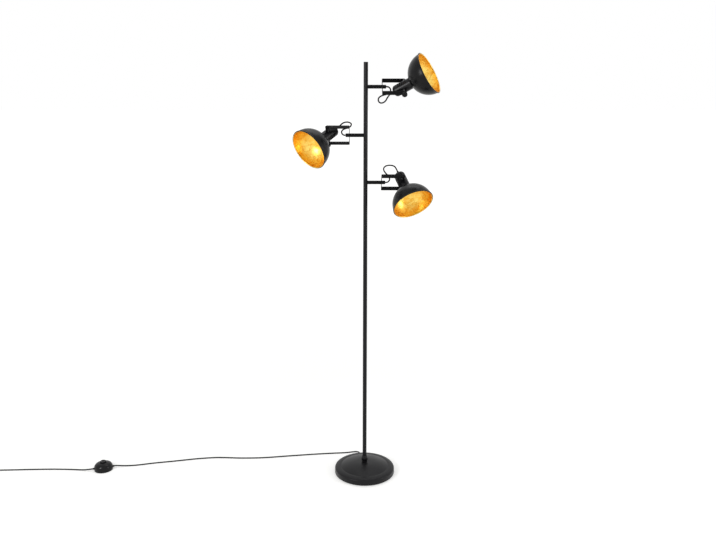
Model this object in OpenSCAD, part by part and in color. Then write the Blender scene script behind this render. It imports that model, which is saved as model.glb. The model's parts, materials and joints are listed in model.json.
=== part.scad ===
// Floor lamp: three gold-lined spots on short arms along one pole, a heavy round base,
// and a foot switch on the mains cord.
// Millimetres, +Z up, origin on the floor at the pole's axis, +X towards the top arm,
// -Y towards the viewer. The spots stand as they were set in the picture.

/* [Pole] */
// Height of the pole's top above the floor
pole_top = 1550; // [1450:5:1700]
// Outside diameter of the pole tube
pole_d = 15.4; // [14.5:0.1:18]
// Wall of the pole tube
pole_wall = 1.2; // [0.8:0.1:1.4]
// Length of the upper pole section, which carries the arms
upper_len = 517; // [470:1:560]
// Depth that a coupler reaches into each section
coupler_reach = 30; // [20:1:45]
// Wall of the couplers and of the foot stud
coupler_wall = 1.2; // [0.8:0.1:1.5]
// Thickness of the top cap's head
cap_head = 1.2; // [0.8:0.1:3]
// Length of the cap's plug inside the pole
cap_plug = 8; // [5:1:15]
// Diameter of the bundle of leads inside the pole
trunk_d = 6.4; // [5:0.1:7]
// Diameter of the lead from the connector block to the pole
feed_d = 5.8; // [5:0.1:6]

/* [Base] */
// Diameter of the base cover
base_d = 231; // [215:1:260]
// Draft of the cover's side wall
base_taper = 0.5; // [0.3:0.1:3]
// Height where the side wall turns into the shoulder
side_h = 18; // [15.5:0.5:19]
// Width of the rounded shoulder
shoulder_w = 4.5; // [3.5:0.5:10]
// Height that the rounded shoulder would reach if it turned level
edge_h = 22.5; // [22:0.5:27]
// Height of the crown at the pole
crown_h = 44; // [38:0.5:50]
// Radius of the flat seat in the middle of the crown
seat_r = 16; // [15:0.5:20]
// Wall of the steel cover
cover_wall = 1.2; // [0.8:0.1:1.6]
// Height of the cover's lower edge above the floor
cover_lift = 2.6; // [1.5:0.1:2.9]
// Distance from the cover's edge in to the sole pad
pad_inset = 6.5; // [6.2:0.1:12]
// Thickness of the sole pad
pad_h = 3; // [3:0.1:4]
// Gap between the cast weight and the cover
weight_gap = 0.6; // [0.3:0.1:1.5]
// Largest diameter of the ferrule at the pole's foot
ferrule_d = 24; // [22:0.5:30]
// Height of the ferrule
ferrule_h = 25; // [20:1:34]
// Width across the foot nut's flats
nut_flats = 22; // [20:0.5:24]
// Height of the foot nut
nut_h = 5; // [4:0.5:6]
// Thickness of the foot washer
foot_washer_t = 1.5; // [1:0.1:2]

/* [Arms] */
// Drop of the top arm below the pole's top
arm_drop = 83; // [60:1:90]
// Spacing of the arms along the pole
arm_pitch = 166; // [150:1:180]
// Diameter of an arm and of its round nut
arm_d = 13; // [12:0.1:14]
// Distance from the pole's axis to the arm's shoulder
arm_reach = 55.3; // [45:0.1:75]
// Diameter of the threaded spigot at the arm's end
spigot_d = 10; // [9:0.1:10.4]
// Length of the spigot's thread inside the nut
spigot_grip = 9; // [7:0.5:10]
// Bore of an arm
arm_bore = 6; // [5.4:0.1:6.6]
// Length of the round nut
nut_len = 11.8; // [11:0.1:15]
// Thickness of a friction washer
washer_t = 0.5; // [0.3:0.1:1]

/* [Yokes] */
// Inside width of a yoke
yoke_gap = 71; // [66:1:85]
// Width of the yoke's strip
yoke_w = 16; // [14:0.5:20]
// Thickness of the yoke's strip
yoke_t = 2; // [1.5:0.1:3]
// Inside radius of the yoke's bends
bend_r = 1.5; // [1:0.5:4]
// Distance from the back of the yoke to the tilt axis
leg_len = 77; // [74:1:90]
// Diameter of the tilt screws
screw_d = 5; // [4:0.1:6]
// Depth of a tilt screw in its boss
screw_grip = 10; // [6:0.5:12]
// Diameter of the plain tilt screw's head
head_d = 10; // [8.5:0.5:12]
// Height of the plain tilt screw's head
head_h = 3; // [2.6:0.1:4]
// Diameter of the tilt knob
knob_d = 19; // [14:0.5:22]
// Thickness of the tilt knob
knob_h = 11.5; // [8:0.5:15]
// Grooves round the tilt knob
knob_grooves = 20; // [12:1:30]

/* [Heads] */
// Diameter of the neck tube
neck_d = 40; // [39:0.5:44]
// Wall of the neck tube
neck_wall = 1.8; // [1.5:0.1:2.2]
// Distance from the tilt axis back to the end of the neck
neck_back = 42; // [38:0.5:46]
// Length of the rounded back of the neck
neck_round = 12; // [9:0.5:15]
// Diameter of the bosses that meet the yoke
boss_d = 15; // [12:0.5:18]
// Vent slots on each side of the neck
vent_count = 5; // [3:1:5]
// Spacing of the vent slots
vent_pitch = 7; // [6:0.5:7]
// Width of a vent slot
vent_w = 3; // [2:0.5:4]
// Length of a vent slot
vent_len = 22; // [14:1:24]
// Distance from the tilt axis to the rim of the shade
rim_reach = 101; // [96:1:112]
// Diameter over the shade's rolled rim
shade_d = 150; // [136:1:160]
// Wall of the shade
shade_wall = 1; // [0.8:0.1:1.4]
// Diameter of the rolled rim
bead_d = 4; // [3:0.5:5]
// Width of the flat round the hole in the shade's crown
crown_flat = 2; // [1:0.5:5]
// Length of the cable gland behind the neck
gland_len = 10; // [8:0.5:12]
// Largest diameter of the cable gland
gland_d = 10; // [9:0.5:12]
// Outside diameter of the lampholder
holder_d = 28; // [26:0.5:29]
// Diameter of the lampholder's mouth, for a small-thread lamp
holder_bore = 14.1; // [13.9:0.1:14.6]
// Depth of the lampholder's threaded mouth
holder_depth = 20; // [18:0.5:22]
// Depth of the wider room for the contacts behind the thread
contact_room = 4.6; // [4:0.1:6]
// Length of the lampholder behind that room
holder_tail = 18; // [14:1:22]
// Distance that the lampholder stands out of the crown
holder_out = 11; // [10:0.5:16]
// Length of the threaded ring that clamps the shade
ring_h = 8; // [5:0.5:9]

/* [Spot poses] */
// Turn of the top spot's yoke on its arm
swivel_1 = -56; // [-160:1:160]
// Tilt of the top spot in its yoke
tilt_1 = -34; // [-88:1:88]
// Turn of the middle spot's yoke on its arm
swivel_2 = -36; // [-160:1:160]
// Tilt of the middle spot in its yoke
tilt_2 = 50; // [-88:1:88]
// Turn of the low spot's yoke on its arm
swivel_3 = 46; // [-160:1:160]
// Tilt of the low spot in its yoke
tilt_3 = -70; // [-88:1:88]

/* [Mains] */
// Diameter of the mains cord
cord_d = 5; // [4.8:0.1:5.2]
// Diameter of a spot's cable
cable_d = 5; // [4.4:0.1:5.2]
// Length of the strain relief behind the base
relief_len = 20; // [20:1:22]
// Length of the foot switch
switch_len = 72; // [70:1:76]
// Width of the foot switch
switch_w = 70; // [66:1:76]
// Height of the foot switch at its collar
switch_h = 31; // [27:0.5:34]
// Thickness of the foot switch's sole
sole_h = 4.5; // [3.5:0.5:6]
// Wall of the foot switch's cover
switch_wall = 2; // [1.5:0.1:2.5]
// Diameter of the foot button
button_d = 22; // [18:0.5:24]
// Travel of the foot button
button_travel = 3; // [2:0.5:3.5]
// Height that the foot button stands above its collar
button_out = 6.5; // [4:0.5:8]
// Coils of the button's spring
spring_turns = 6; // [5:1:7]
// Wire of the button's spring
spring_wire = 0.9; // [0.7:0.1:1.1]
// Thickness of the tie round the coiled cord
tie_t = 0.8; // [0.6:0.1:1.2]
// Width of the tie
tie_w = 8; // [6:1:12]
// Spacing of the turns and layers in the coiled cord
coil_pitch = 6.2; // [6.2:0.1:6.8]
// Radius of the innermost turn of the coiled cord
coil_in_r = 23.2; // [22:0.1:26]
// Height of the flat plug
plug_h = 13.7; // [13:0.1:15]
// Width of the flat plug
plug_w = 35; // [33:0.5:36]
// Length of the plug's grip
plug_len = 36; // [34:0.5:40]
// Length of the plug's pins
pin_len = 19; // [18.5:0.1:19.5]
// Diameter of the plug's pins
pin_d = 4; // [3.9:0.1:4.1]
// Diameter of the pins' roots inside the plug
pin_root_d = 3; // [2.6:0.1:3.2]

/* [Hidden] */
$fn = 96;

// Clearances: a glued or screwed fit, a seat face to face, and a running fit
fit_gap = 0.05;
seat_gap = 0.02;
play = 0.2;
pin_play = 0.08;
through = 1;

// Pole
pole_r = pole_d / 2;
pole_bore = pole_d - 2 * pole_wall;
coupler_d = pole_bore - 2 * fit_gap;
coupler_bore = coupler_d - 2 * coupler_wall;
tube_top = pole_top - cap_head;
upper_z = tube_top - upper_len;
lower_len = (upper_z - crown_h) / 2;
middle_z = crown_h + lower_len;
lead_hole_d = cable_d + 1.2;

// Base
base_r = base_d / 2;
pad_d = base_d - 2 * pad_inset;
weight_r = base_r - base_taper - cover_wall - weight_gap;
weight_top = side_h - weight_gap;
shoulder_turn = 65;
recess_r = nut_flats / 2 / cos(30) + 1.5;
trunk_z = pad_h + trunk_d / 2 + fit_gap;
stud_z = trunk_z + trunk_d / 2 + fit_gap;
foot_nut_z = stud_z + 0.5;
foot_washer_z = foot_nut_z + nut_h;
recess_top = foot_washer_z + foot_washer_t;
stud_top = crown_h + coupler_reach;
gland_angle = 8;
gland_z = 7;
gland_flange_d = 12;
gland_flange_t = 2;
gland_shank_d = 9;
gland_shank = 6;
relief_root_d = 10;
relief_tip_d = cord_d + 1.6;
relief_end = base_r + gland_flange_t + relief_len;
block_y = 44;
block_size = [16, 22, 8];
block_room = 1.5;

// Arms and yokes
spots = [1, 2, 3];
swivels = [0, swivel_1, swivel_2, swivel_3];
tilts = [0, tilt_1, tilt_2, tilt_3];
web_in = arm_reach + washer_t + play;
web_out = web_in + yoke_t;
nut_x = web_out + play + washer_t;
nut_end = nut_x + nut_len;
spigot_end = nut_x + spigot_grip;
washer_d = arm_d - 0.6;
nut_mouth = cable_d + 0.3;
pivot_x = web_in + leg_len;
leg_in = yoke_gap / 2;
leg_out = leg_in + yoke_t;
screw_hole = screw_d + 2 * fit_gap;

// Heads
neck_r = neck_d / 2;
boss_reach = leg_in - play;
dome_r = (shade_d - bead_d) / 2;
dome_in_r = dome_r - shade_wall;
dome_x = rim_reach - bead_d / 2;
crown_r = neck_r + crown_flat;
crown_x = dome_x - sqrt(dome_r * dome_r - crown_r * crown_r);
crown_in = dome_x - sqrt(dome_in_r * dome_in_r - crown_r * crown_r);
crown_hole = holder_d + 0.4;
lip_t = 1.5;
flange_t = 2;
flange_d = neck_d - 2 * neck_wall - 0.8;
mouth_x = crown_in + holder_out;
floor_x = mouth_x - holder_depth - contact_room;
tail_x = floor_x - holder_tail;
ring_d = holder_d + 11;
gland_root_d = 8;
gland_x = -neck_back - gland_len;

// Foot switch, turned with the cord
switch_at = [-1026, 15, 0];
switch_turn = 18;
bush_reach = switch_len / 2 + 4.5;
bush_z = 8;
bush_d = 8;
collar_d = button_d + 7;
button_flange_t = 1.8;
button_flange_d = button_d + 3;
button_flange_z = sole_h + 10;
button_top = switch_h + button_out;
button_skin = 4;
spring_r = 6;
spring_z = sole_h + 0.2;
spring_top = button_top - button_skin - 0.2;
foot_screw_at = [24, 13];
post_r = 3;
side_power = 0.6;
dome_power = 0.8;

// Mains cord on the floor, from the base to the switch's right end
cord_z = cord_d / 2;
mains_route = [
    [-19.1, 136.2, 7], [-19.9, 141.6, 6.9], [-22.8, 148.6, 6], [-28.5, 154.4, 4.8],
    [-37, 157.4, 3.6], [-47.5, 156.9, 2.8], [-62, 153.2, 2.6], [-85, 149.2, 2.6],
    [-130, 145, 2.6], [-200, 137, 2.6], [-300, 122.5, 2.6], [-380, 110, 2.6],
    [-430, 104.5, 2.6], [-500, 103, 2.6], [-565, 106.5, 2.6], [-610, 106, 2.6],
    [-680, 95.5, 2.6], [-760, 77, 2.6], [-840, 60, 2.6], [-890, 46.5, 2.6],
    [-922, 40.3, 2.6], [-950, 36.6, 3.6], [-970, 32.7, 6.2], [-982.7, 29.1, 8],
    [-987.5, 27.5, 8]];
// From the switch's left end to the coil
plug_route = [
    [-1064.5, 2.5, 8], [-1069.3, 0.9, 8], [-1080, -0.5, 7], [-1095, 1, 4.8],
    [-1116, 4, 3], [-1160, 8, 2.6], [-1230, 9.5, 2.6], [-1310, 7, 2.6],
    [-1390, 3, 2.6], [-1450, 0.4, 2.9], [-1479, 0, 3.4], [-1487, 0, 3.4]];
// Spot cables, from the nut's mouth to the neck's gland: x, y, and height above the arm
cable_route_1 = [
    [70.8, 0, 0], [75.5, 0, -0.2], [82, 0.6, -3.5], [86.4, 2, -11], [82, 4.5, -20],
    [73, 6.5, -25.5], [63, 8, -28.5], [53.5, 9.5, -32], [45.5, 11.5, -38.5],
    [44.5, 14.5, -48.5], [51.5, 17.5, -55.5], [61.5, 19.5, -54.5], [70, 20.5, -48],
    [75.5, 20.7, -38.5], [83.8, 18.5, -27.5], [89.6, 16.4, -24.2]];
cable_route_2 = [
    [-70.8, 0, 0], [-75.5, 0, 0.2], [-81.5, 0.8, 3.6], [-84.5, 3, 11], [-79, 6, 19],
    [-70, 8.5, 22.5], [-61, 10.5, 25], [-53, 13, 30], [-50.5, 18, 37.5], [-56, 24.5, 42],
    [-64, 30.5, 43.5], [-72, 36.5, 42.5], [-80, 41, 39.5], [-87.5, 42.3, 33.8],
    [-94.9, 36.8, 26.7], [-99.4, 32.4, 23.5]];
cable_route_3 = [
    [70.8, 0, 0], [75.5, 0, 0.2], [81.5, 0.7, 2.8], [86, 3.5, 10], [84, 7.5, 19],
    [78, 11, 26], [71, 14.5, 32.5], [66, 18.5, 40], [65.5, 23.5, 48], [71.5, 29, 54],
    [80.5, 33.5, 56.5], [90, 37.5, 56.5], [99.5, 41, 54.5], [107, 42.5, 49.5],
    [112.7, 38.7, 40.1], [115.1, 34.1, 35.4]];

// Coil: in over the first turns, up half a turn, and out again on top
coil_at = [-1492, coil_in_r + 1.375 * coil_pitch];
coil_z = tie_t + 0.1 + cord_z;
coil_wind = 1.375;
coil_climb = 0.5;
coil_turns = 2 * coil_wind + coil_climb;
coil_steps = 24;
coil_out_r = coil_in_r + coil_wind * coil_pitch;
tail_at = [coil_at[0] - coil_out_r, coil_at[1]];
plug_at = [tail_at[0], tail_at[1] + 34, plug_h / 2];
plug_relief = 20;
plug_taper = 14;
pin_spacing = 19;
pin_seat = 7;
pin_end = pin_seat + pin_len;

// Height of the middle of the switch cover's dome above its sole, at a point of it
function dome_rise(x, y) =
    let (q = norm([2 * x / (switch_len - switch_wall), 2 * y / (switch_w - switch_wall)]))
    (switch_h - sole_h - 1 - switch_wall / 2) * pow(sin(acos(pow(q, 1 / side_power))), dome_power);
function arm_z(i) = pole_top - arm_drop - (i - 1) * arm_pitch;
function side(i) = i % 2 == 0 ? -1 : 1;
function arc(at, rx, ry, from, to, steps) =
    [for (k = [0:steps]) let (a = from + (to - from) * k / steps)
        [at[0] + rx * cos(a), at[1] + ry * sin(a)]];

// A tube swept along points: each ring's first spoke is carried on without twist
function unit(v) = v / norm(v);
function tangents(p) =
    [for (i = [0:len(p) - 1]) unit(p[min(i + 1, len(p) - 1)] - p[max(i - 1, 0)])];
function spokes(t, n, i = 0) =
    i == len(t) ? [] : let (m = unit(n - (n * t[i]) * t[i])) concat([m], spokes(t, m, i + 1));
function least_gap(p, d, skip) =
    min([for (i = [0:len(p) - 1]) for (j = [i + skip:1:len(p) - 1]) norm(p[i] - p[j])]) - d;

module sweep(p, d, sides, first = [0, 0, 1]) {
    t = tangents(p);
    n = spokes(t, first);
    last = len(p) - 1;
    rings = [for (i = [0:last]) for (k = [0:sides - 1]) let (a = 360 * k / sides)
        p[i] + d / 2 * (cos(a) * n[i] + sin(a) * cross(t[i], n[i]))];
    walls = [for (i = [0:last - 1]) for (k = [0:sides - 1])
        let (a = i * sides + k, b = i * sides + (k + 1) % sides)
        for (f = [[a, a + sides, b + sides], [a, b + sides, b]]) f];
    ends = [for (k = [1:sides - 2])
        for (f = [[0, k, k + 1],
                  [last * sides, last * sides + k + 1, last * sides + k]]) f];
    polyhedron(points = rings, faces = concat(walls, ends), convexity = 8);
}

module turned(outline) rotate_extrude() polygon(outline);
module tube(d, bore, h) {
    difference() {
        cylinder(d = d, h = h);
        translate([0, 0, -through]) cylinder(d = bore, h = h + 2 * through);
    }
}
module along_x() rotate([0, 90, 0]) children();
module on_arm(i) translate([0, 0, arm_z(i)]) rotate([0, 0, side(i) > 0 ? 0 : 180]) children();
module on_yoke(i) on_arm(i) rotate([swivels[i], 0, 0]) children();
module on_head(i) on_yoke(i) translate([pivot_x, 0, 0]) rotate([0, 0, tilts[i]]) children();
module on_gland() rotate([0, 0, gland_angle]) children();
module on_switch() translate(switch_at) rotate([0, 0, switch_turn]) children();

// ---- base ----
// The cover's form: a slightly drawn side, a tight shoulder and a dome that flattens to the seat
module base_form(r, low, shoulder, edge, crown) {
    top_r = r - base_taper - shoulder;
    rim_r = top_r + shoulder * cos(shoulder_turn);
    rim_z = side_h + (edge - side_h) * sin(shoulder_turn);
    turned(concat([[0, low], [r, low]],
        arc([top_r, side_h], shoulder, edge - side_h, 0, shoulder_turn, 6),
        [for (k = [1:9]) let (q = 1 - k / 9)
            [seat_r + (rim_r - seat_r) * q, rim_z + (crown - rim_z) * (1 - q * q)]],
        [[0, crown]]));
}
module base_cover() {
    color("#1c1c1e") difference() {
        base_form(base_r, cover_lift, shoulder_w, edge_h, crown_h);
        base_form(base_r - cover_wall, cover_lift - through, shoulder_w - cover_wall / 2,
            edge_h - cover_wall, crown_h - cover_wall);
        cylinder(d = coupler_d + 2 * fit_gap, h = crown_h + through);
        on_gland() translate([0, base_r, gland_z]) rotate([90, 0, 0])
            cylinder(d = gland_shank_d + 2 * fit_gap, h = 2 * gland_shank, center = true);
    }
}
module base_weight() {
    color("#55575a") difference() {
        union() {
            translate([0, 0, pad_h]) cylinder(r = weight_r, h = weight_top - pad_h);
            cylinder(r = seat_r - 1, h = crown_h - cover_wall - seat_gap);
        }
        translate([0, 0, -through]) cylinder(r = seat_r + through, h = pad_h + through);
        translate([0, 0, pad_h - through]) cylinder(r = recess_r, h = recess_top - pad_h + through);
        cylinder(d = coupler_d + 2 * fit_gap, h = crown_h);
        on_gland() {
            translate([-block_size[0] / 2 - block_room, 0, -through])
                cube([block_size[0] + 2 * block_room, block_y + block_size[1] / 2 + block_room,
                    pad_h + block_size[2] + block_room + through]);
            translate([-gland_flange_d / 2, block_y, -through])
                cube([gland_flange_d, base_r, side_h + 2 * through]);
        }
    }
}
module base_pad() {
    color("#26262a") cylinder(d = pad_d, h = pad_h - seat_gap);
}
module base_ferrule() {
    low_r = pole_r + 1.8;
    color("#1c1c1e") translate([0, 0, crown_h + seat_gap]) turned(concat(
        [[pole_r + fit_gap, 0], [low_r, 0]],
        arc([low_r - 1, ferrule_h * 0.52], ferrule_d / 2 - low_r + 1, ferrule_h * 0.44, -80, 80, 14),
        [[pole_r + 0.9, ferrule_h], [pole_r + fit_gap, ferrule_h]]));
}
module foot_stud() {
    color("#b9bcc0") translate([0, 0, stud_z]) tube(coupler_d, coupler_bore, stud_top - stud_z);
}
module foot_nut() {
    bore = coupler_d + 2 * fit_gap;
    color("#b9bcc0") {
        translate([0, 0, foot_nut_z]) difference() {
            cylinder(r = nut_flats / 2 / cos(30), h = nut_h - seat_gap, $fn = 6);
            translate([0, 0, -through]) cylinder(d = bore, h = nut_h + 2 * through);
        }
        translate([0, 0, foot_washer_z])
            tube(nut_flats + 3, bore, foot_washer_t - seat_gap);
    }
}
module connector_block() {
    color("#e6e2d6") on_gland() translate([0, block_y, pad_h + block_size[2] / 2]) difference() {
        cube(block_size, center = true);
        for (x = [-4, 4]) translate([x, 0, 0]) {
            cylinder(d = 3, h = block_size[2]);
            rotate([90, 0, 0]) cylinder(d = 2, h = block_size[1] + through, center = true);
        }
    }
}
module cord_gland() {
    flange_y = base_r + seat_gap;
    color("#18181a") on_gland() translate([0, flange_y, gland_z]) rotate([-90, 0, 0])
        difference() {
            union() {
                translate([0, 0, -gland_shank]) cylinder(d = gland_shank_d, h = gland_shank + through);
                cylinder(d = gland_flange_d, h = gland_flange_t);
                cylinder(d1 = relief_root_d, d2 = relief_tip_d,
                    h = relief_end - flange_y);
            }
            translate([0, 0, -2 * gland_shank])
                cylinder(d = cord_d + 2 * fit_gap, h = relief_len + 4 * gland_shank);
        }
}

// ---- pole ----
module pole_section(z, h) {
    color("#1c1c1e") translate([0, 0, z]) tube(pole_d, pole_bore, h - seat_gap);
}
module pole_lower() pole_section(crown_h + seat_gap, lower_len - seat_gap);
module pole_middle() pole_section(middle_z, upper_z - middle_z);
module pole_upper() {
    difference() {
        pole_section(upper_z, upper_len);
        for (i = spots) on_arm(i) along_x() cylinder(d = lead_hole_d, h = pole_d);
    }
}
module pole_couplers() {
    color("#b9bcc0") for (z = [middle_z, upper_z]) translate([0, 0, z - coupler_reach])
        tube(coupler_d, coupler_bore, 2 * coupler_reach);
}
module pole_cap() {
    color("#1c1c1e") translate([0, 0, tube_top]) {
        cylinder(d = pole_d, h = cap_head);
        translate([0, 0, -cap_plug]) cylinder(d = coupler_d, h = cap_plug + cap_head);
    }
}
// Everything that the housings hold of the wiring: bundle, branches and the cord's inner end
module inner_leads() {
    block_end = block_y + block_size[1] / 2;
    color("#3a3a3e") {
        cylinder_from(trunk_z, arm_z(1));
        on_gland() translate([0, 0, trunk_z]) rotate([-90, 0, 0])
            cylinder(d = feed_d, h = block_y - block_size[1] / 2 - seat_gap);
        for (i = spots) on_arm(i) along_x() cylinder(d = cable_d, h = nut_end);
        on_gland() translate([0, block_end + seat_gap, gland_z]) rotate([-90, 0, 0])
            cylinder(d = cord_d, h = relief_end - block_end - seat_gap);
    }
}
module cylinder_from(low, high) {
    translate([0, 0, low - trunk_d / 2]) cylinder(d = trunk_d, h = high - low + trunk_d);
}

// ---- arms ----
// A turned bar, coped to the pole at one end and stepped to a thread at the other
module arm(i) {
    color("#1c1c1e") on_arm(i) difference() {
        along_x() {
            cylinder(d = arm_d, h = arm_reach);
            cylinder(d = spigot_d, h = spigot_end);
        }
        cylinder(d = pole_d + 2 * fit_gap, h = 4 * arm_d, center = true);
        along_x() cylinder(d = arm_bore, h = spigot_end + through);
    }
}
// For each arm: a round nut inside the yoke and a friction washer on each side of it
module arm_nuts() {
    color("#1c1c1e") for (i = spots) on_arm(i) along_x() {
        translate([0, 0, nut_x]) difference() {
            turned([[0, 0], [arm_d / 2, 0], [arm_d / 2, nut_len - 1],
                [arm_d / 2 - 1, nut_len], [0, nut_len]]);
            translate([0, 0, -through])
                cylinder(d = spigot_d + 2 * fit_gap, h = spigot_grip + seat_gap + through);
            cylinder(d = nut_mouth, h = nut_len + through);
        }
        for (x = [arm_reach + seat_gap, web_out + play]) translate([0, 0, x])
            tube(washer_d, spigot_d + 2 * fit_gap, washer_t - 2 * seat_gap);
    }
}

// ---- yokes ----
module round_back(from, to, half, r) {
    translate([from + r, -half]) square([to - from - r, 2 * half]);
    translate([from, r - half]) square([r + through, 2 * (half - r)]);
    for (y = [r - half, half - r]) translate([from + r, y]) circle(r = r);
}
// A bent strip: U seen from the side, round-ended legs seen from above
module yoke(i) {
    reach = pivot_x + yoke_w / 2;
    color("#1c1c1e") on_yoke(i) difference() {
        intersection() {
            rotate([90, 0, 0]) linear_extrude(yoke_w, center = true) difference() {
                round_back(web_in, reach, leg_out, bend_r + yoke_t);
                round_back(web_out, reach + through, leg_in, bend_r);
            }
            linear_extrude(2 * leg_out + 2 * through, center = true) {
                translate([web_in - through, -yoke_w / 2])
                    square([pivot_x - web_in + through, yoke_w]);
                translate([pivot_x, 0]) circle(d = yoke_w);
            }
        }
        translate([pivot_x, 0, 0])
            cylinder(d = screw_d + 2 * pin_play, h = 2 * leg_out + 2 * through, center = true);
        along_x() cylinder(d = spigot_d + 2 * pin_play, h = web_out + through);
    }
}
module spot_cable(i) {
    route = [[], cable_route_1, cable_route_2, cable_route_3][i];
    color("#18181a") translate([0, 0, arm_z(i)]) sweep(route, cable_d, 8, [0, 1, 0]);
}

// ---- heads, built along +X from the tilt axis ----
// The neck's form: a tube, rounded in at the back
module neck_form(r, back, front) {
    turned(concat([[0, -back]],
        arc([gland_root_d / 2 + 2, neck_round - back], r - gland_root_d / 2 - 2, neck_round,
            -90, 0, 8),
        [[r, front], [0, front]]));
}
module neck(i) {
    color("#1c1c1e") on_head(i) difference() {
        union() {
            along_x() neck_form(neck_r, neck_back, crown_x - seat_gap);
            cylinder(d = boss_d, h = 2 * boss_reach, center = true);
        }
        along_x() neck_form(neck_r - neck_wall, neck_back - neck_wall, crown_x - lip_t);
        along_x() cylinder(d = crown_hole, h = crown_x + through);
        along_x() translate([0, 0, -neck_back - through])
            cylinder(d = gland_root_d + 2 * fit_gap, h = neck_back);
        cylinder(d = screw_hole, h = 2 * boss_reach + 2 * through, center = true);
        for (y = [-neck_r, neck_r]) for (k = [0:vent_count - 1])
            translate([(k - (vent_count - 1) / 2) * vent_pitch, y, 0])
                cube([vent_w, neck_r, vent_len], center = true);
    }
}
// A spun dome with a rolled rim and a flat crown that the lampholder's ring clamps
module shade(i) {
    from = asin(crown_r / dome_r);
    from_in = asin(crown_r / dome_in_r);
    color("#1c1c1e") on_head(i) along_x() {
        turned(concat([[crown_hole / 2, crown_x], [crown_r, crown_x]],
            [for (k = [1:24]) let (a = from + (90 - from) * k / 24)
                [dome_r * sin(a), dome_x - dome_r * cos(a)]],
            [for (k = [24:-1:0]) let (a = from_in + (90 - from_in) * k / 24)
                [dome_in_r * sin(a), dome_x - dome_in_r * cos(a)]],
            [[crown_hole / 2, crown_in]]));
        translate([0, 0, dome_x]) rotate_extrude() translate([dome_r, 0]) circle(d = bead_d, $fn = 32);
    }
}
module lampholder(i) {
    color("#101012") on_head(i) along_x() {
        difference() {
            union() {
                translate([0, 0, tail_x]) cylinder(d = holder_d, h = mouth_x - tail_x);
                translate([0, 0, crown_x - lip_t - flange_t - seat_gap])
                    cylinder(d = flange_d, h = flange_t);
            }
            translate([0, 0, floor_x]) cylinder(d = holder_bore + 1.4, h = contact_room);
            translate([0, 0, floor_x]) cylinder(d = holder_bore,
                h = contact_room + holder_depth + through);
        }
        translate([0, 0, crown_in + seat_gap]) difference() {
            cylinder(d = ring_d, h = ring_h);
            translate([0, 0, -through]) cylinder(d = holder_d + 2 * fit_gap, h = ring_h + 2 * through);
            for (a = [0:30:330]) rotate([0, 0, a]) translate([ring_d / 2, 0, -through])
                cylinder(d = 2.4, h = ring_h + 2 * through);
        }
    }
}
// The centre contact and the side tongue on the floor of the mouth
module holder_contacts(i) {
    color("#c9a24a") on_head(i) along_x() translate([0, 0, floor_x + seat_gap]) {
        cylinder(d = 5, h = 1.6);
        translate([4, -1.5, 0]) cube([2.4, 3, 2.6]);
    }
}
module holder_lead(i) {
    color("#3a3a3e") on_head(i) along_x() translate([0, 0, gland_x])
        cylinder(d = cable_d, h = tail_x - gland_x - seat_gap);
}
module cable_gland(i) {
    tip_d = cable_d + 1.5;
    color("#18181a") on_head(i) along_x() difference() {
        turned([[0, gland_x], [tip_d / 2, gland_x], [gland_d / 2, -neck_back - 3],
            [gland_d / 2, -neck_back - seat_gap], [gland_root_d / 2, -neck_back - seat_gap],
            [gland_root_d / 2, 4 - neck_back], [0, 4 - neck_back]]);
        translate([0, 0, gland_x - through])
            cylinder(d = cable_d + 2 * fit_gap, h = gland_len + 8);
    }
}
module pivot_screw(i) {
    seat = leg_out + play;
    color("#1c1c1e") on_head(i) difference() {
        union() {
            translate([0, 0, boss_reach - screw_grip])
                cylinder(d = screw_d, h = seat + head_h / 2 - boss_reach + screw_grip);
            translate([0, 0, seat]) turned([[0, 0], [head_d / 2, 0], [head_d / 2, head_h - 0.8],
                [head_d / 2 - 0.8, head_h], [0, head_h]]);
        }
        translate([0, 0, seat + head_h]) cube([head_d - 2.5, 1.2, 2.4], center = true);
    }
}
module tilt_knob(i) {
    seat = leg_out + play;
    color("#141416") on_head(i) mirror([0, 0, 1]) {
        translate([0, 0, boss_reach - screw_grip])
            cylinder(d = screw_d, h = seat + knob_h / 2 - boss_reach + screw_grip);
        difference() {
            translate([0, 0, seat]) turned([[0, 0], [screw_d / 2 + 2.5, 0],
                [screw_d / 2 + 2.5, 1.5], [knob_d / 2 - 1, 2], [knob_d / 2, 3],
                [knob_d / 2, knob_h - 1.2], [knob_d / 2 - 1.2, knob_h], [0, knob_h]]);
            for (k = [0:knob_grooves - 1]) rotate([0, 0, 360 * k / knob_grooves])
                translate([knob_d / 2 + 0.3, 0, seat - through])
                    cylinder(d = 1.6, h = knob_h + 2 * through);
        }
    }
}

// ---- mains cord, foot switch and plug ----
module mains_cord() {
    color("#18181a") sweep(mains_route, cord_d, 8);
}
module plug_cord() {
    color("#18181a") sweep(plug_route, cord_d, 8);
}
module switch_outline(inset) {
    polygon([for (k = [0:47]) let (a = k * 7.5)
        [(switch_len / 2 - inset) * cos(a), (switch_w / 2 - inset) * sin(a)]]);
}
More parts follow.
